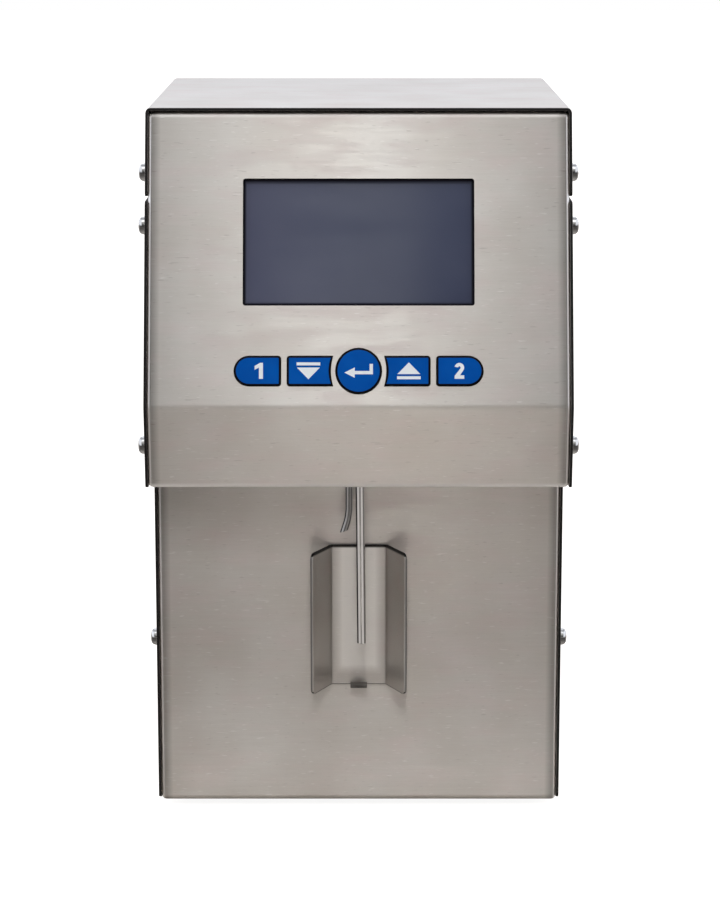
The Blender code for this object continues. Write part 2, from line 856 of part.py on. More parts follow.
def make_rear_panel(material):
    """The back of the case: a shallow pan with side and top flanges, vents and cut-outs."""
    front = shell_depth - flange_depth - overrun
    top = case_height - cover_sheet - gap
    corners = [(front, 0), (shell_depth, 0), (shell_depth, top), (front, top)]
    radii = [lip_radius] * 4
    panel = pan("rear_panel", corners, radii, panel_width / 2, bend_radius, material)
    hollow = inset_outline(corners, panel_sheet)
    for corner, step in zip(hollow, ((-1, -1), (0, -1), (0, 0), (-1, 0))):
        corner += Vector(step) * 2 * overrun
    inner = pan("inner", hollow, [radius - panel_sheet for radius in radii],
                panel_width / 2 - panel_sheet, bend_radius - panel_sheet)
    front_cut = block("front_cut", (-case_width, case_width),
                      (front - overrun, shell_depth - flange_depth), (-overrun, top + overrun))
    foot_cut = block("foot_cut", (-case_width, case_width), (front - overrun, rear_inner - gap / 2),
                     (-overrun, flange_depth + gap))
    return cut(panel, inner, front_cut, foot_cut, gather("openings", vent_slots() + socket_holes()),
               screw_holes("lid_rear", "side_rear_upper", "side_rear_lower"))


def make_cup_cradle(material):
    """A bent sheet trough on the lower panel, its wings reaching forward, with a small lug."""
    front = -gap - cradle_sheet
    tip = cradle_spread / 2 - cradle_sheet
    path = [(-tip, -cradle_reach), (-cradle_facet / 2, front), (cradle_facet / 2, front),
            (tip, -cradle_reach)]
    cradle = prism("cup_cradle", ribbon(path, cradle_sheet, cradle_bend_radius), "Z",
                   cradle_foot_height, cradle_top_height, material)
    work = bmesh.new()
    work.from_mesh(cradle.data)
    corners = [edge for edge in work.edges
               if all(vert.co.y < -cradle_reach + cradle_sheet for vert in edge.verts)
               and edge.calc_length() < 2 * cradle_sheet]
    bmesh.ops.bevel(work, geom=corners, offset=cradle_corner_radius, affect="EDGES",
                    segments=bend_steps, profile=0.5)
    work.to_mesh(cradle.data)
    work.free()
    lug = block("lug", (-lug_width / 2, lug_width / 2),
                (front - lug_reach, -gap - cradle_sheet / 2),
                (cradle_foot_height, cradle_foot_height + cradle_sheet))
    return weld(cradle, lug)


def make_screw(name, material):
    """Pan head screw, its head on +Z, its origin under the head."""
    profile = [(screw_radius, -screw_length), (screw_radius, 0)]
    profile += [(screw_head_radius * wide, screw_head_height * high)
                for wide, high in screw_head_shares]
    return turned(name, profile, screw_sides, material)


def make_foot(name, material):
    """Push-in rubber foot, its origin level with the underside of the floor."""
    profile = [(foot_radius * wide, -foot_height + (foot_height - gap) * high)
               for wide, high in foot_shares]
    profile += [(foot_plug_radius, -gap), (foot_plug_radius, foot_plug_height)]
    return turned(name, profile, 2 * tube_sides, material)


# Display, behind its window in the face

def face_slab(name, width, height, front, back, material=None, radius=0, middle=(0, 0)):
    """A plate parallel to the face, between two depths behind the face's front."""
    outline = rectangle(width, height, middle)
    if radius > 0:
        outline = rounded_rectangle(width, height, radius, middle)
    return prism(name, outline, "Z", -back, -front, material)


def make_display_window(material):
    return face_slab("display_window", window_width + 2 * pane_lap, window_height + 2 * pane_lap,
                     pane_front, pane_front + pane_sheet, material, pane_lap / 2)


def make_display_bezel(material):
    """A metal frame with a rebate behind its lip, for the glass."""
    bezel = face_slab("display_bezel", bezel_width, bezel_height, bezel_front,
                      bezel_front + bezel_depth, material, bezel_lip)
    view = face_slab("view", glass_width - 2 * glass_lap, glass_height - 2 * glass_lap,
                     bezel_front - overrun, bezel_front + overrun)
    rebate = face_slab("rebate", glass_width + 2 * gap, glass_height + 2 * gap,
                       bezel_front + bezel_lip, bezel_front + bezel_depth + overrun)
    return cut(bezel, view, rebate)


def make_display_glass(material):
    front = bezel_front + bezel_lip + gap
    return face_slab("display_glass", glass_width, glass_height, front, front + glass_sheet, material)


def make_display_board(material):
    """Circuit board with a header for the ribbon cable near its lower edge."""
    back = display_board_front + board_sheet
    board = face_slab("display_board", display_board_width, display_board_height,
                      display_board_front, back, material)
    header = face_slab("header", ribbon_width + 2 * header_wall, header_depth, back - board_sheet / 2,
                       back + header_height, middle=(ribbon_place, header_drop))
    return weld(board, header)


# Keys

def make_key(name, outline, material):
    """A cap with a retaining rim behind the sheet and a stem that reaches into its switch."""
    rim_front = key_rim_back - key_rim_sheet
    layers = [(-key_rim_back, key_rim_reach), (-rim_front, key_rim_reach), (-rim_front, 0),
              (key_stand - key_chamfer, 0), (key_stand, -key_chamfer)]
    sections = [[(point.x, point.y, level) for point in outline(grow)] for level, grow in layers]
    key = loft(name, sections, material)
    stem = prism("stem", circle(key_stem_radius), "Z", -switch_front - key_stem_catch,
                 -key_rim_back + key_rim_sheet / 2)
    return weld(key, stem)


def make_keypad_board(material):
    """Circuit board with a push switch behind every key, each with a bore for the key's stem."""
    back = keypad_board_front + board_sheet
    board = face_slab("keypad_board", keypad_board_width, keypad_board_height,
                      keypad_board_front, back, material)
    places = [across for across, outline in key_table().values()]
    switches = [face_slab("switch", switch_width, switch_width, switch_front,
                          keypad_board_front + board_sheet / 2, middle=(across, 0))
                for across in places]
    weld(board, gather("switches", switches))
    bores = [prism("bore", circle(key_stem_radius + gap, (across, 0)), "Z",
                   -keypad_board_front + switch_floor, -switch_front + overrun)
             for across in places]
    return cut(board, gather("bores", bores))


# Tubes under the head

def collar_middle():
    """Middle of the bush that holds both tubes, as (x, y)."""
    return ((sample_tube_place - return_tube_place) / 2,
            -(sample_tube_setback + return_tube_setback) / 2)


def make_tube_collar(material):
    """A bush in the underside of the head, its flange below, bored for both tubes."""
    middle = collar_middle()
    low = lip_height - gap - collar_flange_sheet
    collar = prism("tube_collar", circle(collar_radius, middle, disc_sides), "Z",
                   low + collar_flange_sheet / 2, low + collar_height, material)
    flange = prism("flange", circle(collar_flange_radius, middle, disc_sides), "Z",
                   low, low + collar_flange_sheet)
    weld(collar, flange)
    bores = [prism("bore", circle(radius + gap, spot), "Z", low - overrun,
                   low + collar_height + overrun)
             for radius, spot in ((sample_tube_radius, (sample_tube_place, -sample_tube_setback)),
                                  (return_tube_radius, (-return_tube_place, -return_tube_setback)))]
    return cut(collar, gather("bores", bores))


def sample_tube_slope():
    """How far the tube leans to the right for each length that it drops."""
    return sample_tube_tip_drift / sample_tube_reach


def sample_tube_top():
    lean = sample_tube_slope() * (tube_top_height - lip_height)
    return Vector((sample_tube_place - lean, -sample_tube_setback, tube_top_height))


def make_sample_tube(material):
    """A straight steel tube, open at both ends, leaning a little to the right."""
    low = -sample_tube_reach
    high = tube_top_height - lip_height
    tube = prism("sample_tube", circle(sample_tube_radius), "Z", low, high, material)
    bore = prism("bore", circle(sample_tube_bore_radius), "Z", low - overrun, high + overrun)
    cut(tube, bore)
    lean = Matrix.Shear("XY", 4, (-sample_tube_slope(), 0))
    turn_mesh(tube, lean)
    return turn_mesh(tube, Matrix.Translation((sample_tube_place, -sample_tube_setback, lip_height)))


def bezier(start, start_pull, end, end_pull, steps):
    """Points of a smooth run between two places, with a pull out of each."""
    points = []
    for i in range(steps + 1):
        t = i / steps
        points.append(start * (1 - t) ** 3 + (start + start_pull) * (3 * t * (1 - t) ** 2)
                      + (end + end_pull) * (3 * t ** 2 * (1 - t)) + end * t ** 3)
    return points


def sweep(name, points, radius, material=None):
    """A round tube along points, with closed ends."""
    curve = bpy.data.curves.new(name, "CURVE")
    curve.dimensions = "3D"
    curve.bevel_depth = radius
    curve.bevel_resolution = 2
    curve.use_fill_caps = True
    line = curve.splines.new("POLY")
    line.points.add(len(points) - 1)
    for knot, point in zip(line.points, points):
        knot.co = (*point, 1)
    guide = bpy.data.objects.new(name, curve)
    bpy.context.scene.collection.objects.link(guide)
    bpy.context.view_layer.update()
    shape = guide.evaluated_get(bpy.context.evaluated_depsgraph_get())
    mesh = bpy.data.meshes.new_from_object(shape)
    bpy.data.objects.remove(guide)
    work = bmesh.new()
    work.from_mesh(mesh)
    bmesh.ops.remove_doubles(work, verts=work.verts, dist=weld_distance)
    work.to_mesh(mesh)
    work.free()
    mesh.materials.clear()
    return new_object(name, mesh, material)


def return_tube_path():
    """The return tube from its top down, with its lower end bent to the left."""
    top = Vector((-return_tube_place, -return_tube_setback, tube_top_height))
    knee = Vector((-return_tube_place, -return_tube_setback, lip_height - return_tube_straight))
    tip = Vector((-return_tube_place - return_tube_tip_drift, -return_tube_setback,
                  lip_height - return_tube_reach))
    pull = (knee.z - tip.z) / 3
    ahead = (tip - knee).normalized()
    above = knee + Vector((0, 0, pull))
    bend = bezier(above, Vector((0, 0, -pull)), knee + ahead * pull, -ahead * pull, bend_steps + 1)
    return [top] + bend + [tip]


def make_return_tube(material):
    """The smaller tube behind the sample tube, open at both ends."""
    path = return_tube_path()
    tube = sweep("return_tube", path, return_tube_radius, material)
    first = path[0] + (path[0] - path[1]).normalized() * overrun
    last = path[-1] + (path[-1] - path[-2]).normalized() * overrun
    bore = sweep("bore", [first] + path[1:-1] + [last], return_tube_bore_radius)
    return cut(tube, bore)


# Mounting deck and measuring cell

def make_mounting_deck(material):
    """A bent sheet from front to back, with a slot for the ribbon cable."""
    front = panel_sheet + gap
    back = rear_inner - gap
    low = deck_top - deck_flange
    path = [(back, low), (back, deck_top), (front, deck_top), (front, low)]
    half = panel_width / 2 - deck_side_room
    deck = prism("mounting_deck", ribbon(path, deck_sheet, bend_radius), "X", -half, half, material)
    slot = block("slot", (ribbon_place - ribbon_width / 2 - slot_room,
                          ribbon_place + ribbon_width / 2 + slot_room),
                 (ribbon_setback - slot_room, ribbon_setback + ribbon_sheet + slot_room),
                 (deck_height - overrun, deck_top + overrun))
    return cut(deck, slot)


def cell_middle():
    """Middle of the measuring cell's block."""
    return Vector((-cell_right_end - cell_length / 2, cell_setback,
                   deck_top + gap + cell_leg_height + cell_height / 2))


def nipple_top(side):
    """Where a hose meets the nipple on the left (-1) or right (1) of the cell."""
    middle = cell_middle()
    return Vector((middle.x + side * (cell_length / 2 - nipple_inset), middle.y,
                   middle.z + cell_height / 2 + nipple_height))


def make_measuring_cell(material):
    """A rounded metal block on two legs, with a nipple on top at each end."""
    middle = cell_middle()
    left = middle.x - cell_length / 2
    right = middle.x + cell_length / 2
    cell = prism("measuring_cell", rounded_rectangle(cell_width, cell_height, cell_corner_radius,
                                                     (middle.y, middle.z)), "X", left, right, material)
    legs = [block("leg", (x, x + cell_leg_width),
                  (middle.y - cell_leg_depth / 2, middle.y + cell_leg_depth / 2),
                  (deck_top + gap, middle.z))
            for x in (left + nipple_inset / 2, right - nipple_inset / 2 - cell_leg_width)]
    nipples = [prism("nipple", circle(nipple_radius, nipple_top(side).xy), "Z",
                     middle.z, nipple_top(side).z) for side in (-1, 1)]
    return weld(cell, gather("fittings", legs + nipples))


def make_transducer(name, material):
    """A round sensor with a rim, facing +Z, its origin on its seat."""
    profile = [(transducer_rim_radius, 0), (transducer_rim_radius, transducer_rim_sheet),
               (transducer_radius, transducer_rim_sheet), (transducer_radius, transducer_length)]
    return turned(name, profile, 2 * tube_sides, material)


def make_intake_hose(material):
    """From the top of the sample tube over to the cell's right nipple."""
    start = sample_tube_top() + Vector((0, 0, gap))
    end = nipple_top(1) + Vector((0, 0, gap))
    pull = Vector((0, 0, intake_hose_pull))
    return sweep("intake_hose", bezier(start, pull, end, pull, hose_steps), hose_radius, material)


# Peristaltic pump: each piece round its own axis, which runs along X

def pump_arc(radius, steps):
    """Half circle round the pump's axis, open towards the front, as (y, z)."""
    return [Vector((radius * cos(pi * (i / steps - 0.5)), radius * sin(pi * (i / steps - 0.5))))
            for i in range(steps + 1)]


def pump_plate_outline(radius):
    """The half circle with a straight run to the front at both ends."""
    arc = pump_arc(radius, disc_sides // 2)
    return [Vector((-track_front_reach, -radius))] + arc + [Vector((-track_front_reach, radius))]


def make_pump_track(material):
    """The curved wall that the hose lies against."""
    outline = pump_plate_outline(track_radius + track_wall) + pump_plate_outline(track_radius)[::-1]
    return prism("pump_track", outline, "X", -pump_depth / 2, pump_depth / 2, material)


def make_pump_cover(material):
    """A clear plate over the track."""
    back = -pump_depth / 2 - gap
    outline = pump_plate_outline(track_radius + track_wall)
    return prism("pump_cover", outline, "X", back - pump_cover_sheet, back, material)


def roller_spots():
    return [Vector((roller_orbit * cos(2 * pi * i / roller_count),
                    roller_orbit * sin(2 * pi * i / roller_count))) for i in range(roller_count)]


def make_pump_rotor(material):
    """Two discs with the roller pins between them, on a shaft that runs into the gearbox."""
    end = pump_depth / 2 - gap
    inner = end - rotor_disc_sheet
    middle = end - rotor_disc_sheet / 2
    rotor = prism("pump_rotor", circle(rotor_disc_radius, sides=disc_sides), "X", inner, end, material)
    disc = prism("disc", circle(rotor_disc_radius, sides=disc_sides), "X", -end, -inner)
    bars = [prism("pin", circle(roller_pin_radius, spot), "X", -middle, middle)
            for spot in roller_spots()]
    bars.append(prism("hub", circle(rotor_hub_radius), "X", -middle, middle))
    weld(rotor, gather("bars", bars), disc)
    shaft = prism("shaft", circle(shaft_radius), "X", 0, gearbox_face + shaft_catch)
    return weld(rotor, shaft)


def make_roller(name, material):
    """A ring that turns on one of the rotor's pins."""
    reach = pump_depth / 2 - gap - rotor_disc_sheet - gap
    roller = prism(name, circle(roller_radius, sides=2 * tube_sides), "X", -reach, reach, material)
    bore = prism("bore", circle(roller_pin_radius + gap, sides=screw_sides), "X",
                 -reach - overrun, reach + overrun)
    return cut(roller, bore)


def make_pump_bracket(material):
    """An upright sheet between the pump and its motor, bent to a base on the deck."""
    margin = track_radius + track_wall + bracket_margin
    low = deck_top + gap - pump_height
    path = [(bracket_face, margin), (bracket_face, low), (bracket_face + bracket_base, low)]
    bracket = prism("pump_bracket", ribbon(path, bracket_sheet, bend_radius), "Y",
                    -track_front_reach, margin, material)
    hole = prism("hole", circle(shaft_radius + 2 * gap), "X", bracket_face - overrun,
                 gearbox_face + overrun)
    return cut(bracket, hole)


def make_pump_motor(material):
    """A geared motor: gearbox, can and tail bearing, with a bore for the shaft."""
    front = gearbox_face
    seam = front + gearbox_length
    back = seam + motor_length
    profile = [(gearbox_radius, front), (gearbox_radius, seam), (motor_radius, seam),
               (motor_radius, back), (motor_tail_radius, back),
               (motor_tail_radius, back + motor_tail_length)]
    motor = turned("pump_motor", profile, disc_sides, material, "X")
    bore = prism("bore", circle(shaft_radius + gap), "X", front - overrun,
                 front + shaft_catch + gap)
    return cut(motor, bore)


def make_pump_hose(material):
    """From the cell's left nipple, round the rollers, and down to the return tube."""
    axis = Vector((0, pump_setback, pump_height))
    entry = axis + Vector((0, -track_front_reach - hose_lead, hose_orbit))
    leave = axis + Vector((0, -track_front_reach - hose_lead, -hose_orbit))
    start = nipple_top(-1) + Vector((0, 0, gap))
    end = return_tube_path()[0] + Vector((0, 0, gap))
    feed = bezier(start, Vector((0, 0, feed_hose_pull)), entry, Vector((0, -feed_hose_pull, 0)),
                  hose_steps)
    arc = [axis + Vector((0, point.x, point.y)) for point in pump_arc(hose_orbit, disc_sides // 2)]
    drain = bezier(leave, Vector((0, -drain_hose_pull, 0)), end, Vector((0, 0, drain_hose_drop)),
                   hose_steps)
    return sweep("pump_hose", feed + arc[::-1] + drain, hose_radius, material)


# Main board and ribbon cable

def main_board_spots(inset):
    """Four places on the main board, this far in from its corners."""
    return [(side * (main_board_width / 2 - inset),
             main_board_setback + end * (main_board_depth / 2 - inset))
            for side in (-1, 1) for end in (-1, 1)]


def main_board_posts():
    return main_board_spots(stud_inset)


def main_board_header():
    """Middle of the ribbon's header on the main board, as (x, y)."""
    return (ribbon_place, main_board_setback - main_board_depth / 2 + header_inset)


def make_main_board(material):
    """Circuit board with a header, chips and capacitors."""
    top = main_board_height + board_sheet
    board = block("main_board", (-main_board_width / 2, main_board_width / 2),
                  (main_board_setback - main_board_depth / 2, main_board_setback + main_board_depth / 2),
                  (main_board_height, top), material)
    root = top - board_sheet / 2
    parts = [prism("header", rectangle(ribbon_width + 2 * header_wall, header_depth,
                                       main_board_header()), "Z", root, top + header_height)]
    for across, along in chip_place_shares:
        spot = (across * main_board_width, main_board_setback + along * main_board_depth)
        parts.append(prism("chip", rectangle(chip_width, chip_width, spot), "Z", root,
                           top + chip_height))
    corner = main_board_width / 2 - capacitor_side_inset
    row_y = main_board_setback + main_board_depth / 2 - capacitor_back_inset
    for x in (-corner, -corner + capacitor_pitch, corner):
        parts.append(prism("capacitor", circle(capacitor_radius, (x, row_y)), "Z", root,
                           top + capacitor_height))
    return weld(board, gather("parts", parts))


def make_ribbon_cable(material):
    """A flat cable from the display board, down through the deck, to the main board."""
    depth = display_board_front + board_sheet + header_height + gap
    start = face_frame(0, window_centre_rise + header_drop, -depth).translation
    drop_y = ribbon_setback
    drop_z = start.z - (drop_y - start.y) * tan(face_tilt)
    across, end_y = main_board_header()
    end_z = main_board_height + board_sheet + header_height + gap
    path = [(start.y, start.z), (drop_y, drop_z), (drop_y, ribbon_turn_height),
            (end_y, ribbon_turn_height), (end_y, end_z)]
    outline = ribbon(path, ribbon_sheet, ribbon_bend_radius, bend_steps)
    return prism("ribbon_cable", outline, "X", across - ribbon_width / 2, across + ribbon_width / 2,
                 material)


# Switch and sockets, each round its own middle on the face of the rear panel

def rocker_reach():
    """Radius that the rocker's ends sweep round its pivot."""
    return hypot(rocker_height / 2, rocker_end_rise)


def rocker_pivot():
    """How far the rocker's axis stands out from the rear panel's face."""
    return gap + switch_bezel_sheet - rocker_pivot_depth


def make_power_switch(material):
    """A snap-in switch housing: bezel outside, body through the panel, a well for the rocker."""
    front = gap + switch_bezel_sheet
    body = block("power_switch", (-switch_body_width / 2, switch_body_width / 2),
                 (-panel_sheet - switch_body_depth, front - switch_bezel_sheet / 2),
                 (-switch_body_height / 2, switch_body_height / 2), material)
    bezel_outline = rounded_rectangle(switch_bezel_width, switch_bezel_height, bend_radius)
    bezel = prism("bezel", bezel_outline, "Y", gap, front)
    weld(body, bezel)
    well_half = rocker_reach() + gap
    well_floor = rocker_pivot() - hypot(rocker_depth, rocker_height * rocker_heel_share) - gap
    well = block("well", (-rocker_width / 2 - gap, rocker_width / 2 + gap),
                 (well_floor, front + overrun), (-well_half, well_half))
    cut(body, well)
    half = rocker_width / 2 + rocker_pin_catch + gap
    pins = prism("pins", circle(rocker_pin_radius + gap, (rocker_pivot(), 0)), "X", -half, half)
    return cut(body, pins)


def make_power_rocker(material):
    """The rocker about its pivot, its axis on X and its face outwards on +Y."""
    half = rocker_height / 2
    heel = rocker_height * rocker_heel_share
    outline = [(-rocker_depth, -heel), (-rocker_depth, heel), (-rocker_end_rise, half),
               (rocker_end_rise, half), (rocker_middle_rise, 0), (rocker_end_rise, -half),
               (-rocker_end_rise, -half)]
    rocker = prism("power_rocker", outline, "X", -rocker_width / 2, rocker_width / 2, material)
    reach = rocker_width / 2 + rocker_pin_catch
    return weld(rocker, prism("pin", circle(rocker_pin_radius), "X", -reach, reach))


def make_power_inlet(material):
    """A round socket with a flange outside the panel, a bore and a centre pin."""
    front = gap + inlet_nut_sheet
    floor = front - inlet_bore_depth
    profile = [(inlet_body_radius, -panel_sheet - inlet_body_depth), (inlet_body_radius, gap),
               (inlet_nut_radius, gap), (inlet_nut_radius, front)]
    inlet = turned("power_inlet", profile, 2 * tube_sides, material, "Y")
    bore = prism("bore", circle(inlet_bore_radius), "Y", floor, front + overrun)
    cut(inlet, bore)
    pin = prism("pin", circle(inlet_pin_radius), "Y", floor - inlet_pin_radius,
                front - inlet_nut_sheet / 2)
    return weld(inlet, pin)


def port_outline(shrink):
    """The D shape of a data socket's shell."""
    half = port_shell_width / 2 - shrink
    high = port_shell_height / 2 - shrink
    slope = port_shell_width * port_slope_share / 2
    corners = [(-half + slope, -high), (half - slope, -high), (half, high), (-half, high)]
    return rounded(corners, [port_shell_sheet] * 4, bend_steps)


def make_data_port(name, material):
    """A D-shaped socket on a flange with two screw posts, and a body behind the panel."""
    flange_front = gap + port_flange_sheet
    port = prism(name, rounded_rectangle(port_flange_width, port_flange_height, bend_radius), "Y",
                 gap, flange_front, material)
    body = block("body", (-port_shell_width / 2, port_shell_width / 2),
                 (-panel_sheet - port_body_depth, flange_front - port_flange_sheet / 2),
                 (-port_shell_height / 2, port_shell_height / 2))
    shell = prism("shell", port_outline(0), "Y", flange_front - port_flange_sheet / 2,
                  port_shell_stand)
    posts = [prism("post", circle(port_post_radius, (side * port_post_place, 0), nut_sides), "Y",
                   flange_front - port_flange_sheet / 2, port_shell_stand - port_shell_sheet)
             for side in (-1, 1)]
    weld(port, body, shell, gather("posts", posts))
    recess = prism("recess", port_outline(port_shell_sheet), "Y", port_shell_stand - port_recess,
                   port_shell_stand + overrun)
    return cut(port, recess)


# The whole object

def main_frame():
    """An empty at the foot of the lower panel's face, which carries every piece."""
    datum = bpy.data.objects.new("case_datum", None)
    bpy.context.scene.collection.objects.link(datum)
    datum.location = (0, face_y, foot_height)
    return datum


def add_case(datum, steel, dark_steel, rubber):
    place(make_front_chassis(steel), datum)
    place(make_head_fascia(steel), datum)
    place(make_top_cover(steel), datum)
    place(make_side_cover("left_side_cover", -1, steel), datum)
    place(make_side_cover("right_side_cover", 1, steel), datum)
    place(make_rear_panel(steel), datum)
    place(make_cup_cradle(steel), datum)
    for name, side, end in (("front_left", -1, -1), ("front_right", 1, -1),
                            ("rear_left", -1, 1), ("rear_right", 1, 1)):
        spot = foot_place(side, end)
        place(make_foot("foot_" + name, rubber), datum, Matrix.Translation((*spot, 0)))
    out = case_width / 2 + gap
    for name, (y, z) in screw_places().items():
        for word, side in (("left", -1), ("right", 1)):
            turn = Matrix.Rotation(side * pi / 2, 4, "Y")
            stand = Matrix.Translation((side * out, y, z)) @ turn
            place(make_screw("screw_" + name + "_" + word, dark_steel), datum, stand)


def add_head(datum, acrylic, glass, dark_steel, board, blue):
    window = face_frame(0, window_centre_rise)
    place(make_display_window(acrylic), datum, window)
    place(make_display_bezel(dark_steel), datum, window)
    place(make_display_glass(glass), datum, window)
    place(make_display_board(board), datum, window)
    place(make_keypad_board(board), datum, face_frame(0, key_row_rise))
    for name, (across, outline) in key_table().items():
        place(make_key(name, outline, blue), datum, face_frame(across, key_row_rise))


def add_milk_path(datum, steel, hose, alloy, black):
    place(make_tube_collar(black), datum)
    place(make_sample_tube(steel), datum)
    place(make_return_tube(steel), datum)
    place(make_mounting_deck(alloy), datum)
    place(make_measuring_cell(alloy), datum)
    middle = cell_middle()
    for word, side in (("left", -1), ("right", 1)):
        seat = middle + Vector((side * (cell_length / 2 + gap), 0, 0))
        turn = Matrix.Rotation(side * pi / 2, 4, "Y")
        place(make_transducer("transducer_" + word, black), datum, Matrix.Translation(seat) @ turn)
    place(make_intake_hose(hose), datum)
    place(make_pump_hose(hose), datum)


def add_pump(datum, steel, alloy, black, acrylic, white):
    axis = Vector((0, pump_setback, pump_height))
    stand = Matrix.Translation(axis)
    place(make_pump_bracket(alloy), datum, stand)
    place(make_pump_track(black), datum, stand)
    place(make_pump_cover(acrylic), datum, stand)
    place(make_pump_motor(steel), datum, stand)
    place(make_pump_rotor(black), datum, stand)
    for number, spot in enumerate(roller_spots(), 1):
        centre = axis + Vector((0, spot.x, spot.y))
        place(make_roller("pump_roller_" + str(number), white), datum, Matrix.Translation(centre))


def add_boards_and_sockets(datum, steel, board, ribbon_grey, black):
    place(make_main_board(board), datum)
    place(make_ribbon_cable(ribbon_grey), datum)
    row = socket_row()
    switch = Vector((row["power_switch"], shell_depth, socket_row_height))
    place(make_power_switch(black), datum, Matrix.Translation(switch))
    pivot = switch + Vector((0, rocker_pivot(), 0))
    tilt = Matrix.Rotation(rocker_tilt, 4, "X")
    place(make_power_rocker(black), datum, Matrix.Translation(pivot) @ tilt)
    inlet = (row["power_inlet"], shell_depth, socket_row_height)
    place(make_power_inlet(black), datum, Matrix.Translation(inlet))
    for name in ("data_port_1", "data_port_2"):
        place(make_data_port(name, steel), datum,
              Matrix.Translation((row[name], shell_depth, socket_row_height)))


def main():
    for thing in list(bpy.data.objects):
        bpy.data.objects.remove(thing)
    steel = finish("brushed_steel", (0.62, 0.59, 0.56), 0.38, 1.0)
    screw_steel = finish("screw_steel", (0.72, 0.72, 0.72), 0.2, 1.0)
    tube_steel = finish("tube_steel", (0.68, 0.67, 0.65), 0.2, 1.0)
    alloy = finish("alloy", (0.7, 0.7, 0.7), 0.45, 1.0)
    rubber = finish("rubber", (0.02, 0.02, 0.02), 0.8, 0.0)
    acrylic = finish("window_acrylic", (0.08, 0.09, 0.13), 0.1, 0.0)
    glass = finish("display_glass", (0.06, 0.07, 0.1), 0.1, 0.0)
    blue = finish("key_blue", (0.004, 0.09, 0.33), 0.3, 0.0)
    board = finish("board_green", (0.02, 0.12, 0.05), 0.5, 0.0)
    black = finish("black_plastic", (0.02, 0.02, 0.02), 0.45, 0.0)
    white = finish("roller_white", (0.8, 0.8, 0.78), 0.4, 0.0)
    hose = finish("hose_silicone", (0.75, 0.74, 0.7), 0.35, 0.0)
    ribbon_grey = finish("ribbon_grey", (0.45, 0.46, 0.48), 0.6, 0.0)
    datum = main_frame()
    add_case(datum, steel, screw_steel, rubber)
    add_head(datum, acrylic, glass, screw_steel, board, blue)
    add_milk_path(datum, tube_steel, hose, alloy, black)
    add_pump(datum, tube_steel, alloy, black, acrylic, white)
    add_boards_and_sockets(datum, tube_steel, board, ribbon_grey, black)


main()
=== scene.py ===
"""Looks of the milk analyzer: folded brushed sheet, blue keys, dark display, bright screws, tubes.

Metres, +Z up, front towards -Y. Every piece takes its place from the CAD node that it dresses.
"""
import json
from math import cos, pi, radians, sin

import bmesh
import bpy
from mathutils import Matrix, Vector


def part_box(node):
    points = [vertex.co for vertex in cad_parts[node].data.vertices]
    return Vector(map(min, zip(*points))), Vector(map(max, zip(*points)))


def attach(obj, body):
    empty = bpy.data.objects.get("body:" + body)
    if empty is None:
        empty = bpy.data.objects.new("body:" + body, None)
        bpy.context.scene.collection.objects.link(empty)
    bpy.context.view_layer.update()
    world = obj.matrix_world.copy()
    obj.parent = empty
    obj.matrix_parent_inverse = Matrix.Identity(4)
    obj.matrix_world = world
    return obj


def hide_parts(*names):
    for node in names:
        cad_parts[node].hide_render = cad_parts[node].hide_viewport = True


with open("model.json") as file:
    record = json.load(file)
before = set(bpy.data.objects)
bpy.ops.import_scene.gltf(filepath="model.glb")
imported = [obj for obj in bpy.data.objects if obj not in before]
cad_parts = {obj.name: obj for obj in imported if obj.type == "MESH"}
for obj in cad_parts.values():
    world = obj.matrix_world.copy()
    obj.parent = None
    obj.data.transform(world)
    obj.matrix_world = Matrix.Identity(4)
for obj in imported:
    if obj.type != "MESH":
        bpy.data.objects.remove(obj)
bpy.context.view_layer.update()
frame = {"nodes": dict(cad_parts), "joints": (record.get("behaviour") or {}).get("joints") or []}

mm = 0.001

# Camera, fitted to the photograph's edges: its place, its fall below level, and its lens
camera_place = (0.45 * mm, -997.25 * mm, 324.8 * mm)
camera_fall = radians(11.54)
camera_lens = 112.36
camera_sensor = 36.0
camera_clip = 0.05

# Sheet: arrises, cut edges, and how squarely a face must look to the side, or up or down
sheet_bevel = 0.16 * mm
cut_edge_width = 1.3 * mm
cut_edge_angle = radians(60)
side_facing = 0.9
level_facing = 0.5
sharp_angle = radians(32)
merge_distance = 0.004 * mm
flat_angle = radians(0.4)

# The bends at the front panels' sides: a painted highlight on the round, painted shade beside it,
# then a slow recovery
bend_outset = 0.25 * mm
bend_zone = 5 * mm
bend_highlight_reach = (0.55 * mm, 1.0 * mm)
bend_shade_reach = (0.7 * mm, 1.3 * mm, 1.9 * mm, 4.2 * mm)
bend_shade_share = 0.36
bend_shade_fade = 14 * mm
bend_shade_fade_share = 0.06

# The head's lower bend with a painted highlight, and painted shade on the panel below it, darker
# towards its left
lip_highlight_rise = (1.9 * mm, 0.7 * mm)
lip_highlight_share = 0.75
overhang_shade_drop = 34 * mm
overhang_shade_reach = (-64 * mm, 20 * mm)
overhang_shade_share = 0.34

# Brush marks: how often the noise repeats in a metre along and across the belt, and what shows
fine_grain = (180, 5200, 5200)
broad_grain = (45, 1400, 1400)
speck_grain = (330, 2300, 2300)
fine_detail = (3.0, 0.6)
fine_share = 0.6
score_shift = (0, 0.7, 0.7)
speck_range = (0.74, 0.84)
dash_share = 0.35
score_share = 0.4
grain_range = (0.36, 0.64)
noise_middle = (0.3, 0.7)
brush_waver = 0.05
sheet_cloud = 24 * mm
sheet_roughness = (0.31, 0.41)

# Handling marks and grain
cloud_detail = (2.0, 0.45)
smear_stretch = (0.5, 1.6, 1.6)
smear_scale = 2.6
smear_range = (0.45, 0.72)
smear_roughness = 0.05
coarse_scale = 0.05

# Bumps: strength and depth
sheet_bump = (0.045, 0.02 * mm)
steel_bump = (0.03, 0.01 * mm)
ribbon_bump = (0.4, 0.2 * mm)

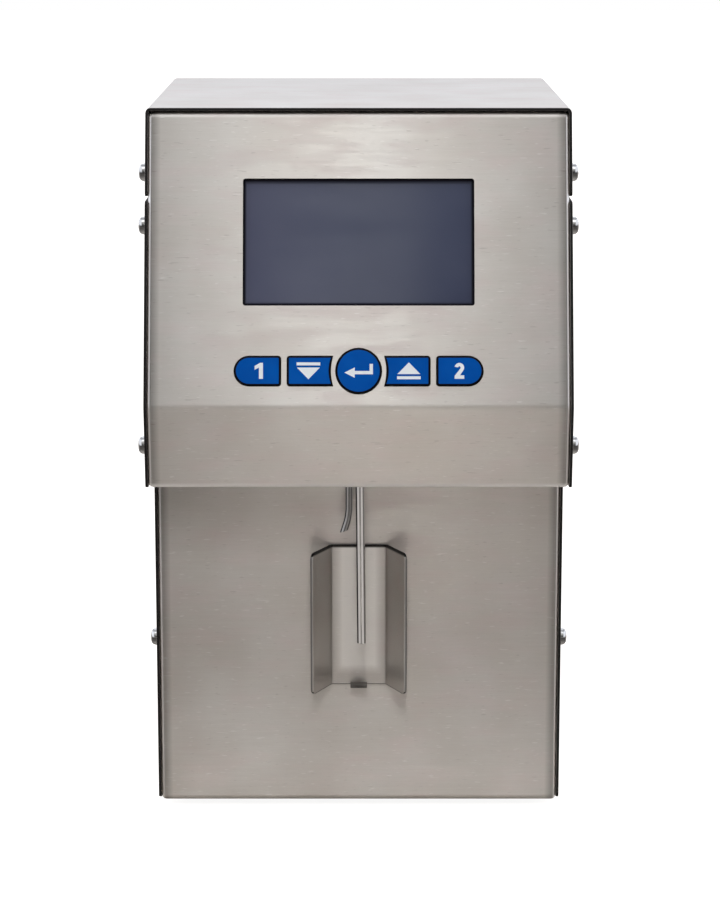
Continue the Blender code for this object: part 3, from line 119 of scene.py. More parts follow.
# Colours, in pairs from the darker to the lighter
sheet_tones = ((0.597, 0.563, 0.535), (0.632, 0.6, 0.573))
smear_tints = ((0.985, 1.0, 0.99), (1.02, 0.99, 0.995))
cloud_tints = ((0.92, 0.9, 0.885), (1.0, 1.0, 1.0))
cut_edge_tones = ((0.008, 0.007, 0.007), (0.022, 0.02, 0.019))
tube_tones = ((0.9, 0.88, 0.86), (0.98, 0.97, 0.96))
key_tones = ((0.0004, 0.078, 0.38), (0.0008, 0.096, 0.44))
screen_tones = ((0.046, 0.054, 0.096), (0.066, 0.076, 0.124))
board_tones = ((0.012, 0.085, 0.035), (0.02, 0.14, 0.06))
ribbon_tones = ((0.3, 0.31, 0.33), (0.5, 0.51, 0.53))
hose_tones = ((0.66, 0.65, 0.6), (0.78, 0.77, 0.73))
dash_colour = (0.8, 0.78, 0.76)
score_colour = (0.36, 0.33, 0.31)
# Painted highlight, on the bends and along the head's lower edge
highlight_steel = (0.97, 0.955, 0.94)
# Painted light, painted shade and painted shadow on the cradle
lit_steel = (0.82, 0.8, 0.77)
shaded_steel = (0.2, 0.185, 0.17)
shadow_steel = (0.02, 0.018, 0.018)
screen_painted_light = (0.1, 0.105, 0.165)
screen_border = (0.006, 0.005, 0.01)

# Side covers: how far the strip behind the seam reaches towards the flanges of its neighbours
seam_height = 1.6 * mm
seam_step = 0.6 * mm
seam_front_reach = 5.0 * mm
seam_rear_reach = 7.6 * mm

# Display: the black border seen through the pane, from its inner to its full dark limit, partly the
# display's own border and partly painted shadow of the window's edge; and painted light on the
# screen's left
border_side = (1.25 * mm, 0.6 * mm)
border_top = (1.6 * mm, 0.2 * mm)
border_foot = (1.5 * mm, 1.0 * mm)
border_roughness = 0.7
pane_lap = 3 * mm
screen_light_share = 0.6

# Cradle: painted shadow along its top edge, foot, rims and lug, painted light on its middle and
# lower wings, painted shade in its folds and at its foot, and a painted reflection round the lug
top_shadow_depth = 1.1 * mm
dark_foot_edge = 0.35 * mm
cradle_fold = 9.2 * mm
cradle_facet_back = 46.2 * mm
lug_half_width = 2.95 * mm
wing_edge = (15.75 * mm, 16.05 * mm, 16.3 * mm)
wing_shade = (0.22, 0.04)
wing_edge_shade = 0.7
wing_rim_dark = 0.6
fold_shade_width = 3.6 * mm
fold_shade = 0.34
foot_shade = 0.24
foot_dark = 0.85
centre_light_share = 0.6
wing_light_share = 0.4
wing_light_rise = (26 * mm, 15 * mm)
lug_reflection_radius = 4.2 * mm
lug_reflection_share = 0.9
lug_shade = 0.75

# Screws
screw_head_radius = 3.0 * mm
screw_head_height = 2.4 * mm
screw_rim_height = 0.6 * mm
screw_shank_radius = 1.45 * mm
screw_shank_length = 5.5 * mm
recess_span = 3.4 * mm
recess_slot = 0.9 * mm
recess_depth = 1.3 * mm
recess_taper = 0.72
crown_fullness = 0.62
screw_bevel = 0.06 * mm
screw_sharp_angle = radians(40)
head_top_facing = (0.7, 0.9)
screw_turns = (0.3, 1.1, 0.7, 0.1, 1.4, 0.5, 0.9)
round_steps = 40
dome_steps = 8

# Tubes
sample_tube_radius = 1.5 * mm
sample_tube_bore = 1.15 * mm
return_tube_radius = 1.2 * mm
return_tube_wall = 0.35 * mm
return_tube_cut = radians(-20)
return_tube_lift = 1.2 * mm
return_tube_knee = 6.9 * mm
return_tube_tip = 1.08 * mm
return_tube_bend = 2.6 * mm
return_tube_spare = 1.2 * mm
sample_tube_bevel = 0.08 * mm
return_tube_bevel = 0.05 * mm
return_tube_round_steps = 8
return_tube_bend_steps = 10

# Painted reflections along a tube: place from its left side (0) to its right side (1), and tone
tube_lines = ((0, 0.01), (0.13, 0.03), (0.2, 1.0), (0.36, 0.95), (0.42, 0.3), (0.56, 0.3),
              (0.61, 1.0), (0.76, 0.95), (0.83, 0.05), (1, 0.01))
# The return tube's finish is darker by painted shade
return_tube_shade = 0.5

# Screw heads: painted reflections, the dark and bright lines that their round edge mirrors, from its
# foot to its top
head_lines = ((0, 1.0), (0.36, 1.0), (0.45, 0.2), (0.52, 0.12), (0.6, 0.9), (0.8, 1.0), (0.9, 0.3),
              (1, 0.2))

# Keys and their marks
key_bevel = 0.08 * mm
key_bevel_steps = 3
# The key's rim and sides are black: painted shadow of the gap round the key
key_shadow_rim = 0.09 * mm
mark_stand = 0.03 * mm
mark_shifts = {"key_one": 0.7 * mm, "key_down": -0.5 * mm, "key_up": 0.5 * mm,
               "key_two": -0.2 * mm}
digit_height = 5.3 * mm
arrow_width = 7.6 * mm
arrow_height = 3.9 * mm
arrow_bar_width = 7.8 * mm
arrow_bar_height = 1.0 * mm
arrow_bar_space = 0.7 * mm
return_mark_width = 9.4 * mm
return_mark_height = 4.6 * mm
return_mark_line = 1.1 * mm
return_mark_head = 3.4 * mm

# The figure one, as shares of its height: stem, then the flag at its top left
figure_one_share = ((-0.03, -0.5), (0.22, -0.5), (0.22, 0.5), (0.04, 0.5), (-0.3, 0.3),
                    (-0.3, 0.06), (-0.03, 0.2))

# The figure two: a bow about its middle, from its start to its end, then the slope and the foot
bow_middle_share = 0.2
bow_outer_share = 0.3
bow_inner_share = 0.08
bow_start = radians(170)
bow_end = radians(-35)
bow_steps = 10
foot_share = ((0.04, -0.28), (0.3, -0.28), (0.3, -0.5), (-0.3, -0.5), (-0.3, -0.32))

# Rocker marks
rocker_mark_height = 3.0 * mm
rocker_mark_line = 0.5 * mm
outward_facing = 0.7

# Rear sockets
port_floor_area = 60 * mm * mm
pin_pitch = 2.77 * mm
pin_row_spacing = 2.84 * mm
pin_counts = {1: 5, -1: 4}
pin_hole_radius = 0.55 * mm
pin_hole_depth = 3.0 * mm
post_place = 12.5 * mm
post_hole_radius = 1.35 * mm
post_hole_depth = 4.0 * mm
hole_sides = 16
inlet_pin_radius = 1.1 * mm
inlet_pin_length = 9.0 * mm
moulded_edge = 0.3 * mm

# Boards and ribbon: the wave's own length, the ribbon's pitch, and the tracks' noise
wave_length = 0.31
ribbon_pitch = 1.27 * mm
track_stretch = (900, 160, 900)
track_range = (0.5, 0.53)

# Studio: white behind and beside the object, dimmer in front of it
floor_colour = (0.485, 0.45, 0.41)
floor_lift = 0.9
white_behind = (-0.5, -0.3)
white_beside = (0.58, 0.74)
front_rise = (0.35, 0.7)
front_levels = (0.12, 0.6)
back_colour = (1.12, 1.16, 1.25)
floor_size = 6.0
lamps = {
    "front_box": {"place": (-0.01, -1.24, 0.78), "target": (0, -0.07, 0.2), "width": 0.12,
                  "height": 0.5, "radiance": 4.8},
    "overhead_box": {"place": (0, -0.2, 0.55), "target": (0, -0.2, 0), "width": 0.6,
                     "height": 0.2, "radiance": 1.0},
    "table_box": {"place": (0.012, -0.44, 0.5), "target": (0.012, -0.44, 0), "width": 0.06,
                  "height": 0.25, "radiance": 5.2, "spread": radians(22)},
    "foot_box": {"place": (0, -0.36, 0.3), "target": (0, -0.05, -0.02), "width": 0.35,
                 "height": 0.04, "radiance": 0.85, "spread": radians(16)},
}


# Node graphs: a few words for the nodes that every finish uses

def add(tree, kind, **settings):
    """A node with its settings."""
    node = tree.nodes.new(kind)
    for name, value in settings.items():
        setattr(node, name, value)
    return node


def feed(tree, source, target):
    """Join a socket to a socket, or set a plain value."""
    if isinstance(source, bpy.types.NodeSocket):
        tree.links.new(source, target)
    else:
        target.default_value = source


def give(tree, node, **values):
    """Feed a node's inputs by their names, and hand back its outputs."""
    for label, value in values.items():
        feed(tree, value, node.inputs[label.replace("_", " ").title()])
    return node.outputs


def stretched(tree, vector, scale, shift=(0, 0, 0)):
    """Coordinates stretched by a scale on each axis, then shifted."""
    mapping = add(tree, "ShaderNodeMapping")
    return give(tree, mapping, vector=vector, scale=scale, location=shift)["Vector"]


def noise(tree, vector, scale, detail=2.0, roughness=0.5):
    return give(tree, add(tree, "ShaderNodeTexNoise"), vector=vector, scale=scale, detail=detail,
                roughness=roughness)["Fac"]


def span(tree, value, low, high, to_low=0.0, to_high=1.0):
    """A value carried from one range to another, and held inside it."""
    node = add(tree, "ShaderNodeMapRange")
    for socket, item in zip(node.inputs, (value, low, high, to_low, to_high)):
        feed(tree, item, socket)
    return node.outputs["Result"]


def figure(tree, operation, first, *others):
    """Values joined by one operation, from the first on."""
    for other in others or (0.0,):
        node = add(tree, "ShaderNodeMath", operation=operation)
        feed(tree, first, node.inputs[0])
        feed(tree, other, node.inputs[1])
        first = node.outputs["Value"]
    return first


def mixed(tree, share, first, second, **settings):
    """A colour between two others."""
    node = add(tree, "ShaderNodeMix", data_type="RGBA", **settings)
    feed(tree, share, node.inputs["Factor"])
    for item, socket in ((first, node.inputs[6]), (second, node.inputs[7])):
        feed(tree, (*item, 1.0) if isinstance(item, tuple) else item, socket)
    return node.outputs[2]


def multiplied(tree, colour, tone):
    """A colour darkened by a tone from 0 to 1."""
    return mixed(tree, 1.0, colour, tone, blend_type="MULTIPLY")


def bumped(tree, height, strength, distance):
    return give(tree, add(tree, "ShaderNodeBump"), strength=strength, distance=distance,
                height=height)["Normal"]


def object_place(tree):
    return add(tree, "ShaderNodeTexCoord").outputs["Object"]


def parted(tree, vector):
    """The X, Y and Z of a vector."""
    return give(tree, add(tree, "ShaderNodeSeparateXYZ"), vector=vector)


def joined(tree, **values):
    """A vector of the x, y and z given."""
    return give(tree, add(tree, "ShaderNodeCombineXYZ"), **values)["Vector"]


def new_group(name, inputs, outputs):
    """A node group: its inputs with their values (None for a vector), and its outputs' names."""
    group = bpy.data.node_groups.new(name, "ShaderNodeTree")
    for label, value in inputs.items():
        kind = "NodeSocketVector" if value is None else "NodeSocketFloat"
        socket = group.interface.new_socket(label, in_out="INPUT", socket_type=kind)
        if value is not None:
            socket.default_value = value
    for label in outputs:
        group.interface.new_socket(label, in_out="OUTPUT", socket_type="NodeSocketFloat")
    return group, add(group, "NodeGroupInput").outputs, add(group, "NodeGroupOutput")


def use_group(tree, group, **values):
    """A group placed in a finish, its inputs given by name."""
    return give(tree, add(tree, "ShaderNodeGroup", node_tree=group), **values)


def brush_group():
    """Marks of a brushing belt that ran along X of the coordinates given, in metres."""
    group, given, result = new_group("brush_marks", {"Place": None}, ("Grain", "Dashes", "Scores"))
    place = given["Place"]
    fine = noise(group, stretched(group, place, fine_grain), 1.0, *fine_detail)
    broad = noise(group, stretched(group, place, broad_grain), 1.0)
    specks = [stretched(group, place, speck_grain, shift) for shift in ((0, 0, 0), score_shift)]
    dashes, scores = [span(group, noise(group, spot, 1.0, 0.0), *speck_range) for spot in specks]
    grain = figure(group, "ADD", figure(group, "MULTIPLY", fine, fine_share),
                   figure(group, "MULTIPLY", broad, 1 - fine_share))
    give(group, result, grain=grain, dashes=dashes, scores=scores)
    return group


def cloud_group():
    """Soft uneven tone, as on sheet that has been wiped and handled."""
    group, given, result = new_group("handled_clouds", {"Place": None, "Size": 30 * mm},
                                     ("Tone", "Smears"))
    scale = figure(group, "DIVIDE", 1.0, given["Size"])
    wide = noise(group, given["Place"], scale, *cloud_detail)
    smear = noise(group, stretched(group, given["Place"], smear_stretch),
                  figure(group, "MULTIPLY", scale, smear_scale), 3.0)
    give(group, result, tone=span(group, wide, *noise_middle),
         smears=span(group, smear, *smear_range))
    return group


def speckle_group():
    """Fine even grain of a moulding or a cast face."""
    group, given, result = new_group("moulded_grain", {"Place": None, "Size": 0.4 * mm},
                                     ("Height", "Tone"))
    scale = figure(group, "DIVIDE", 1.0, given["Size"])
    coarse = noise(group, given["Place"], figure(group, "MULTIPLY", scale, coarse_scale))
    give(group, result, height=noise(group, given["Place"], scale),
         tone=span(group, coarse, *noise_middle))
    return group


def bend_group():
    """Painted highlight (Shine) and painted shade (Tone) beside a sheet's bend, from the distance to
    its outer edge.
    """
    group, given, result = new_group("bend_highlight_and_shade", {"Distance": 1.0}, ("Shine", "Tone"))
    distance = given["Distance"]
    rise_start, rise_end, fall_start, fall_end = bend_shade_reach
    painted_shade = figure(group, "MINIMUM",
                  span(group, distance, rise_start, rise_end, 0.0, bend_shade_share),
                  span(group, distance, fall_start, fall_end, bend_shade_share, 0.0))
    fade = span(group, distance, fall_start, bend_shade_fade, bend_shade_fade_share, 0.0)
    give(group, result, shine=span(group, distance, *bend_highlight_reach, 1.0, 0.0),
         tone=figure(group, "SUBTRACT", 1.0, painted_shade, fade))
    return group


brush_marks = brush_group()
handled_clouds = cloud_group()
moulded_grain = speckle_group()
bend_highlight_and_shade = bend_group()


# Finishes

def new_finish(name, metallic, roughness, gloss=0.5):
    material = bpy.data.materials.new(name)
    material.use_nodes = True
    tree = material.node_tree
    shader = tree.nodes["Principled BSDF"]
    shader.inputs["Specular IOR Level"].default_value = gloss
    give(tree, shader, metallic=metallic, roughness=roughness)
    return material, tree, shader


def brushed_sheet(name, quarter_turn=False, half_width=None):
    """Stainless sheet brushed along X, or along Y by a quarter turn; with a half width, a painted
    highlight and painted shade beside the bend there.
    """
    material, tree, shader = new_finish(name, 1.0, 0.36)
    place = object_place(tree)
    along = place
    if quarter_turn:
        turn = add(tree, "ShaderNodeMapping")
        along = give(tree, turn, vector=place, rotation=(0, 0, pi / 2))["Vector"]
    marks = use_group(tree, brush_marks, place=along)
    clouds = use_group(tree, handled_clouds, place=place, size=sheet_cloud)
    base = mixed(tree, span(tree, marks["Grain"], *grain_range), *sheet_tones)
    tint = mixed(tree, clouds["Smears"], *smear_tints)
    warm = multiplied(tree, tint, mixed(tree, clouds["Tone"], *cloud_tints))
    lit = mixed(tree, figure(tree, "MULTIPLY", marks["Dashes"], dash_share),
                multiplied(tree, base, warm), dash_colour)
    surface = mixed(tree, figure(tree, "MULTIPLY", marks["Scores"], score_share), lit,
                    score_colour)
    # Painted highlight on the bend's round, and painted shade beside it
    if half_width:
        across = figure(tree, "ABSOLUTE", parted(tree, place)["X"])
        bend = use_group(tree, bend_highlight_and_shade, distance=figure(tree, "SUBTRACT", half_width, across))
        surface = mixed(tree, bend["Shine"], multiplied(tree, surface, bend["Tone"]), highlight_steel)
    wander = noise(tree, place, 1 / sheet_cloud, *cloud_detail)
    waver = span(tree, wander, *noise_middle, -brush_waver, brush_waver)
    x, y = (1.0, waver) if quarter_turn else (waver, 1.0)
    give(tree, shader, base_color=surface,
         roughness=figure(tree, "ADD", span(tree, marks["Grain"], *noise_middle, *sheet_roughness),
                          figure(tree, "MULTIPLY", clouds["Smears"], smear_roughness)),
         normal=bumped(tree, marks["Grain"], *sheet_bump), anisotropic=0.8,
         tangent=joined(tree, x=x, y=y, z=1.0))
    return material


def toned(material, tone):
    """Change a finish by a tone that its own tree works out from the place."""
    tree = material.node_tree
    shader = tree.nodes["Principled BSDF"]
    bare = shader.inputs["Base Color"].links[0].from_socket
    give(tree, shader, base_color=tone(tree, parted(tree, object_place(tree)), bare))
    return material


def head_tone(tree, axes, bare):
    """Painted highlight along the bend at the head's lower edge."""
    lip_highlight = span(tree, axes["Z"], head_foot + lip_highlight_rise[0], head_foot + lip_highlight_rise[1],
                  0.0, lip_highlight_share)
    return mixed(tree, lip_highlight, bare, highlight_steel)


def chassis_tone(tree, axes, bare):
    """Painted shade close below the head, most of all on the left."""
    below = span(tree, axes["Z"], head_foot - overhang_shade_drop, head_foot)
    leftward = span(tree, axes["X"], *overhang_shade_reach, overhang_shade_share, 0.0)
    return multiplied(tree, bare, figure(tree, "SUBTRACT", 1.0,
                                         figure(tree, "MULTIPLY", below, leftward)))


def cradle_tone(tree, axes, bare):
    """Painted shadow on the top edge, foot, rims and lug; painted light on the middle and the wings'
    lower part; painted shade in the folds, at the foot and the wings' edges; a painted reflection
    round the lug.
    """
    low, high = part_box("cup_cradle")
    across = figure(tree, "ABSOLUTE", axes["X"])
    inside = figure(tree, "SUBTRACT", cradle_fold, across)
    above_foot = figure(tree, "SUBTRACT", axes["Z"], low.z)
    from_lug = give(tree, add(tree, "ShaderNodeVectorMath", operation="LENGTH"),
                    vector=joined(tree, x=across, y=above_foot))["Value"]
    # Painted shade in the folds, at the foot and the wings' edges, and a painted reflection round
    # the lug
    in_fold = figure(tree, "MINIMUM", span(tree, inside, 0.0, fold_shade_width, fold_shade, 0.0),
                     figure(tree, "MAXIMUM",
                            span(tree, across, cradle_fold, wing_edge[0], *wing_shade),
                            span(tree, inside, -dark_foot_edge, 0.0, 0.0, fold_shade)))
    at_foot = span(tree, above_foot, 2 * fold_shade_width, fold_shade_width, 0.0, foot_shade)
    lug_reflection = span(tree, from_lug, lug_reflection_radius / 4, lug_reflection_radius, lug_reflection_share, 0.0)
    edge = span(tree, across, wing_edge[0], wing_edge[0] + dark_foot_edge / 2, 0.0,
                wing_edge_shade)
    painted_shade = figure(tree, "MAXIMUM", in_fold, at_foot, lug_reflection, edge)
    # Painted shadow along the top edge, the foot and the rims, and on the lug
    top_shadow = span(tree, axes["Z"], high.z - top_shadow_depth, high.z - top_shadow_depth / 2)
    foot = span(tree, axes["Z"], low.z + dark_foot_edge, low.z + dark_foot_edge / 2, 0.0,
                foot_dark)
    rim = span(tree, across, *wing_edge[1:], 0.0, wing_rim_dark)
    lug = figure(tree, "MULTIPLY",
                 span(tree, across, lug_half_width, lug_half_width + dark_foot_edge, 1.0, 0.0),
                 span(tree, axes["Y"], -cradle_facet_back, -cradle_facet_back + dark_foot_edge,
                      lug_shade, 0.0))
    # Painted light on the middle and on the wings' lower part
    centre_light = figure(tree, "MULTIPLY",
                        span(tree, inside, 0.0, fold_shade_width, 0.0, centre_light_share),
                        span(tree, above_foot, fold_shade_width, 2 * fold_shade_width))
    wing_light = figure(tree, "MULTIPLY",
                        span(tree, inside, -dark_foot_edge, 0.0, wing_light_share, 0.0),
                        span(tree, above_foot, *wing_light_rise))
    bright = mixed(tree, figure(tree, "MAXIMUM", centre_light, wing_light), bare, lit_steel)
    return mixed(tree, figure(tree, "MAXIMUM", top_shadow, foot, lug, rim),
                 mixed(tree, painted_shade, bright, shaded_steel), shadow_steel)


def cut_edge_finish():
    """Edges of the sheet, near black: partly darkened where the laser cut them, partly painted
    shadow of the gaps beside them.
    """
    material, tree, shader = new_finish("cut_edge", 0.3, 0.6, 0.15)
    marks = use_group(tree, brush_marks, place=object_place(tree))
    give(tree, shader, base_color=mixed(tree, marks["Grain"], *cut_edge_tones))
    return material


def turned_steel(name, dark, light, roughness, size):
    """Bright turned or drawn steel, with faint handling smears."""
    material, tree, shader = new_finish(name, 1.0, roughness)
    place = object_place(tree)
    clouds = use_group(tree, handled_clouds, place=place, size=size)
    grain = use_group(tree, moulded_grain, place=place, size=0.3 * mm)
    give(tree, shader, base_color=mixed(tree, clouds["Tone"], dark, light),
         roughness=span(tree, clouds["Smears"], 0.0, 1.0, roughness, roughness + 0.1),
         normal=bumped(tree, grain["Height"], *steel_bump))
    return material


def mirror_lines(material, axis, tones):
    """Painted reflections: bright and dark lines over a round polished side, by the way that it
    faces.
    """
    tree = material.node_tree
    shader = tree.nodes["Principled BSDF"]
    facing = parted(tree, add(tree, "ShaderNodeTexCoord").outputs["Normal"])
    lines = add(tree, "ShaderNodeValToRGB")
    shown = give(tree, lines, fac=span(tree, facing[axis], -1.0, 1.0))["Color"]
    stops = lines.color_ramp.elements
    for position, tone in tones:
        stop = stops[0] if position == 0 else stops[1] if position == 1 else stops.new(position)
        stop.color = (tone, tone, tone, 1)
    if axis == "Z":
        flat_top = span(tree, figure(tree, "ABSOLUTE", facing["X"]), *head_top_facing)
        shown = figure(tree, "MAXIMUM", shown, flat_top)
    bare = shader.inputs["Base Color"].links[0].from_socket
    give(tree, shader, base_color=multiplied(tree, bare, shown))
    return material


def drawn_tube_finish(name, tone, roughness):
    """Polished tube with long lines of painted reflection, as if its round side mirrored a room."""
    dark, light = [tuple(level * tone for level in colour) for colour in tube_tones]
    return mirror_lines(turned_steel(name, dark, light, roughness, 10 * mm), "X", tube_lines)


def moulding(name, dark, light, roughness, depth=0.02 * mm, gloss=0.5):
    """A plain moulded or rubbery surface with a fine grain."""
    material, tree, shader = new_finish(name, 0.0, roughness, gloss)
    grain = use_group(tree, moulded_grain, place=object_place(tree), size=0.4 * mm)
    give(tree, shader, base_color=mixed(tree, grain["Tone"], dark, light),
         roughness=span(tree, grain["Height"], *noise_middle, roughness - 0.05, roughness + 0.05),
         normal=bumped(tree, grain["Height"], 0.2, depth))
    return material


def key_finish():
    """Glossy blue cap, a little uneven in depth of colour."""
    material, tree, shader = new_finish("key_blue", 0.0, 0.3, 0.03)
    clouds = use_group(tree, handled_clouds, place=object_place(tree), size=9 * mm)
    give(tree, shader, base_color=mixed(tree, clouds["Tone"], *key_tones),
         roughness=span(tree, clouds["Smears"], 0.0, 1.0, 0.3, 0.42))
    return material


def pane_finish():
    """Tinted pane over the dark display, with a black border round its edge, partly the display's
    own and partly painted shadow, and painted light towards its left.
    """
    material, tree, shader = new_finish("display_pane", 0.0, 0.12, 0.12)
    lap = Vector((pane_lap, 0, pane_lap))
    low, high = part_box("display_window")
    low, high = low + lap, high - lap
    place = object_place(tree)
    axes = parted(tree, place)
    across = figure(tree, "ABSOLUTE", axes["X"])
    side = span(tree, across, high.x - border_side[0], high.x - border_side[1])
    top = span(tree, axes["Z"], high.z - border_top[0], high.z - border_top[1])
    foot = span(tree, axes["Z"], low.z + border_foot[0], low.z + border_foot[1])
    border = figure(tree, "MAXIMUM", side, top, foot)
    clouds = use_group(tree, handled_clouds, place=place, size=50 * mm)
    # Painted light: the screen paler towards its left
    paler = mixed(tree, span(tree, axes["X"], low.x, 0.0, screen_light_share, 0.0),
                  mixed(tree, clouds["Tone"], *screen_tones), screen_painted_light)
    give(tree, shader, base_color=mixed(tree, border, paler, screen_border),
         roughness=figure(tree, "MAXIMUM", span(tree, clouds["Smears"], 0.0, 1.0, 0.1, 0.18),
                          figure(tree, "MULTIPLY", border, border_roughness)))
    return material


def board_finish():
    """Green solder mask with fainter tracks in it."""
    material, tree, shader = new_finish("board_green", 0.0, 0.42)
    place = object_place(tree)
    tracks = noise(tree, stretched(tree, place, track_stretch), 1.0, 1.0)
    grain = use_group(tree, moulded_grain, place=place, size=0.6 * mm)
    give(tree, shader, base_color=mixed(tree, span(tree, tracks, *track_range), *board_tones),
         roughness=span(tree, grain["Height"], *noise_middle, 0.36, 0.48))
    return material


def ribbon_finish():
    """Flat cable: fine ridges across its width."""
    material, tree, shader = new_finish("ribbon_grey", 0.0, 0.5)
    wave = add(tree, "ShaderNodeTexWave", wave_type="BANDS", bands_direction="X")
    ridges = give(tree, wave, vector=object_place(tree), scale=wave_length / ribbon_pitch)["Fac"]
    give(tree, shader, base_color=mixed(tree, ridges, *ribbon_tones),
         normal=bumped(tree, ridges, *ribbon_bump))
    return material


def hose_finish():
    """Milky soft hose."""
    material, tree, shader = new_finish("hose_milky", 0.0, 0.35)
    clouds = use_group(tree, handled_clouds, place=object_place(tree), size=12 * mm)
    give(tree, shader, base_color=mixed(tree, clouds["Tone"], *hose_tones), subsurface_weight=0.1,
         subsurface_radius=(mm, mm, mm))
    return material


head_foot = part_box("head_fascia")[0].z
panel_half_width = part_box("head_fascia")[1].x
steel = brushed_sheet("brushed_steel")
# Folded panels with painted highlight and shade at their side bends; the head and chassis take more
# painted light and shade
bent_steel, head_steel, chassis_steel = [
    brushed_sheet(name, half_width=panel_half_width + bend_outset)
    for name in ("bent_steel", "head_steel", "chassis_steel")]
bent_sheets = {"head_fascia": toned(head_steel, head_tone),
               "front_chassis": toned(chassis_steel, chassis_tone), "rear_panel": bent_steel}
cradle_steel = toned(brushed_sheet("cradle_steel"), cradle_tone)
side_steel = brushed_sheet("brushed_steel_along_y", quarter_turn=True)
cut_edge = cut_edge_finish()
# Round bright steel with painted reflections in lines, by the way that it faces
bright_steel = mirror_lines(turned_steel("screw_steel", (0.66, 0.65, 0.64), (0.78, 0.78, 0.77),
                                         0.14, 4 * mm), "Z", head_lines)
drawn_steel = turned_steel("tube_steel", (0.62, 0.6, 0.57), (0.74, 0.71, 0.68), 0.07, 10 * mm)
drawn_tube = drawn_tube_finish("drawn_tube", 1.0, 0.08)
# The return tube: the same finish, rougher, and darker by painted shade
dull_tube = drawn_tube_finish("dull_tube", return_tube_shade, 0.3)
plated_shell = turned_steel("plated_shell", (0.42, 0.42, 0.41), (0.52, 0.52, 0.5), 0.3, 4 * mm)
milled_alloy = turned_steel("alloy", (0.6, 0.6, 0.6), (0.74, 0.74, 0.74), 0.38, 20 * mm)
black_rubber = moulding("rubber", (0.012, 0.012, 0.012), (0.03, 0.03, 0.029), 0.72, 0.05 * mm)
black_plastic = moulding("black_plastic", (0.012, 0.012, 0.013), (0.026, 0.026, 0.027), 0.42)
# Painted shadow round the keys
key_shadow_black = moulding("key_shadow_black", (0.003, 0.003, 0.004), (0.006, 0.006, 0.007), 0.5, gloss=0.06)
white_plastic = moulding("white_plastic", (0.72, 0.72, 0.7), (0.82, 0.82, 0.8), 0.4)
mark_white = moulding("mark_white", (0.9, 0.93, 0.95), (0.95, 0.97, 0.98), 0.45, 0.005 * mm)
clear_cover = moulding("clear_cover", (0.3, 0.32, 0.35), (0.34, 0.36, 0.4), 0.15)
dark_glass = moulding("dark_glass", (0.05, 0.06, 0.1), (0.06, 0.07, 0.11), 0.1)
key_blue = key_finish()
display_pane = pane_finish()
board_green = board_finish()
ribbon_grey = ribbon_finish()
hose_milky = hose_finish()


# Shapes

def placed(name, data):
    """An object of the scene."""
    thing = bpy.data.objects.new(name, data)
    bpy.context.scene.collection.objects.link(thing)
    return thing


def new_piece(name, work, *materials):
    """A piece from a bmesh, its object at the origin."""
    mesh = bpy.data.meshes.new(name)
    work.to_mesh(mesh)
    work.free()
    for material in materials:
        mesh.materials.append(material)
    return placed(name, mesh)


def merged_copy(node):
    """A CAD node's surface as a bmesh, its loose triangles joined and its flat faces whole."""
    work = bmesh.new()
    work.from_mesh(frame["nodes"][node].data)
    bmesh.ops.remove_doubles(work, verts=work.verts, dist=merge_distance)
    bmesh.ops.dissolve_limit(work, angle_limit=flat_angle, use_dissolve_boundaries=False,
                             verts=work.verts, edges=work.edges, delimit={"NORMAL"})
    for face in work.faces:
        face.material_index = 0
    return work


def shade(piece, width, steps=2, angle=sharp_angle):
    """Round the sharp edges a little, and keep the flats flat in the shading."""
    piece.data.shade_smooth()
    piece.data.set_sharp_from_angle(angle=angle)
    edge = piece.modifiers.new("edge", "BEVEL")
    edge.width = width
    edge.segments = steps
    edge.limit_method = "ANGLE"
    edge.angle_limit = angle
    edge.use_clamp_overlap = True
    level = piece.modifiers.new("flats", "WEIGHTED_NORMAL")
    level.keep_sharp = True
    return piece


def is_cut_edge(face):
    """Whether a face is a sheet's cut edge: a narrow strip with square corners along it."""
    if 2 * face.calc_area() > cut_edge_width * face.calc_perimeter():
        return False
    square = [edge for edge in face.edges
              if edge.is_manifold and edge.calc_face_angle(0) > cut_edge_angle]
    return len(square) > 1 and all(edge in square for edge in face.edges
                                   if edge.calc_length() > cut_edge_width)


def ease_sides(work):
    """Bring the bends of a panel close against the side covers."""
    for vert in work.verts:
        if abs(vert.co.x) > panel_half_width - bend_zone:
            vert.co.x += bend_outset if vert.co.x > 0 else -bend_outset


def lengthen_seam(work):
    """Carry the strip behind a side cover's top seam on to the flanges before and behind it."""
    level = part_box("top_cover")[0].z - seam_height
    out = press_axis("key_enter")
    strip = [vert.co.y for vert in work.verts if vert.co.z > level + merge_distance]
    for vert in work.verts:
        if vert.co.z < level - seam_step:
            continue
        if abs(vert.co.y - min(strip)) < merge_distance:
            vert.co.y -= seam_front_reach + (vert.co.z - level) * out.z / out.y
        elif abs(vert.co.y - max(strip)) < merge_distance:
            vert.co.y += seam_rear_reach


def dress_sheet(node, finish):
    """A copy of a sheet node with fine rounded arrises, and dark where the sheet was cut, partly as
    painted shadow.
    """
    work = merged_copy(node)
    if node in bent_sheets:
        ease_sides(work)
    if finish is side_steel:
        lengthen_seam(work)
    for face in work.faces:
        bright = finish is cradle_steel and abs(face.normal.z) < level_facing
        if is_cut_edge(face) and not bright:
            face.material_index = 1
        elif node in bent_sheets and abs(face.normal.x) > side_facing:
            face.material_index = 2
    piece = new_piece(node + "_sheet", work, finish, cut_edge, side_steel)
    settle(shade(piece, sheet_bevel), node)


def dress_plain(node, finish, body="case"):
    """A copy of a moulded node with rounded arrises and one finish."""
    piece = new_piece(node + "_dressed", merged_copy(node), finish)
    settle(shade(piece, moulded_edge), node, body)


def settle(piece, node, body="case"):
    """Hang a piece on the body that it rides on, and hide the node that it stands for."""
    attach(piece, body)
    if node:
        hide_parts(node)


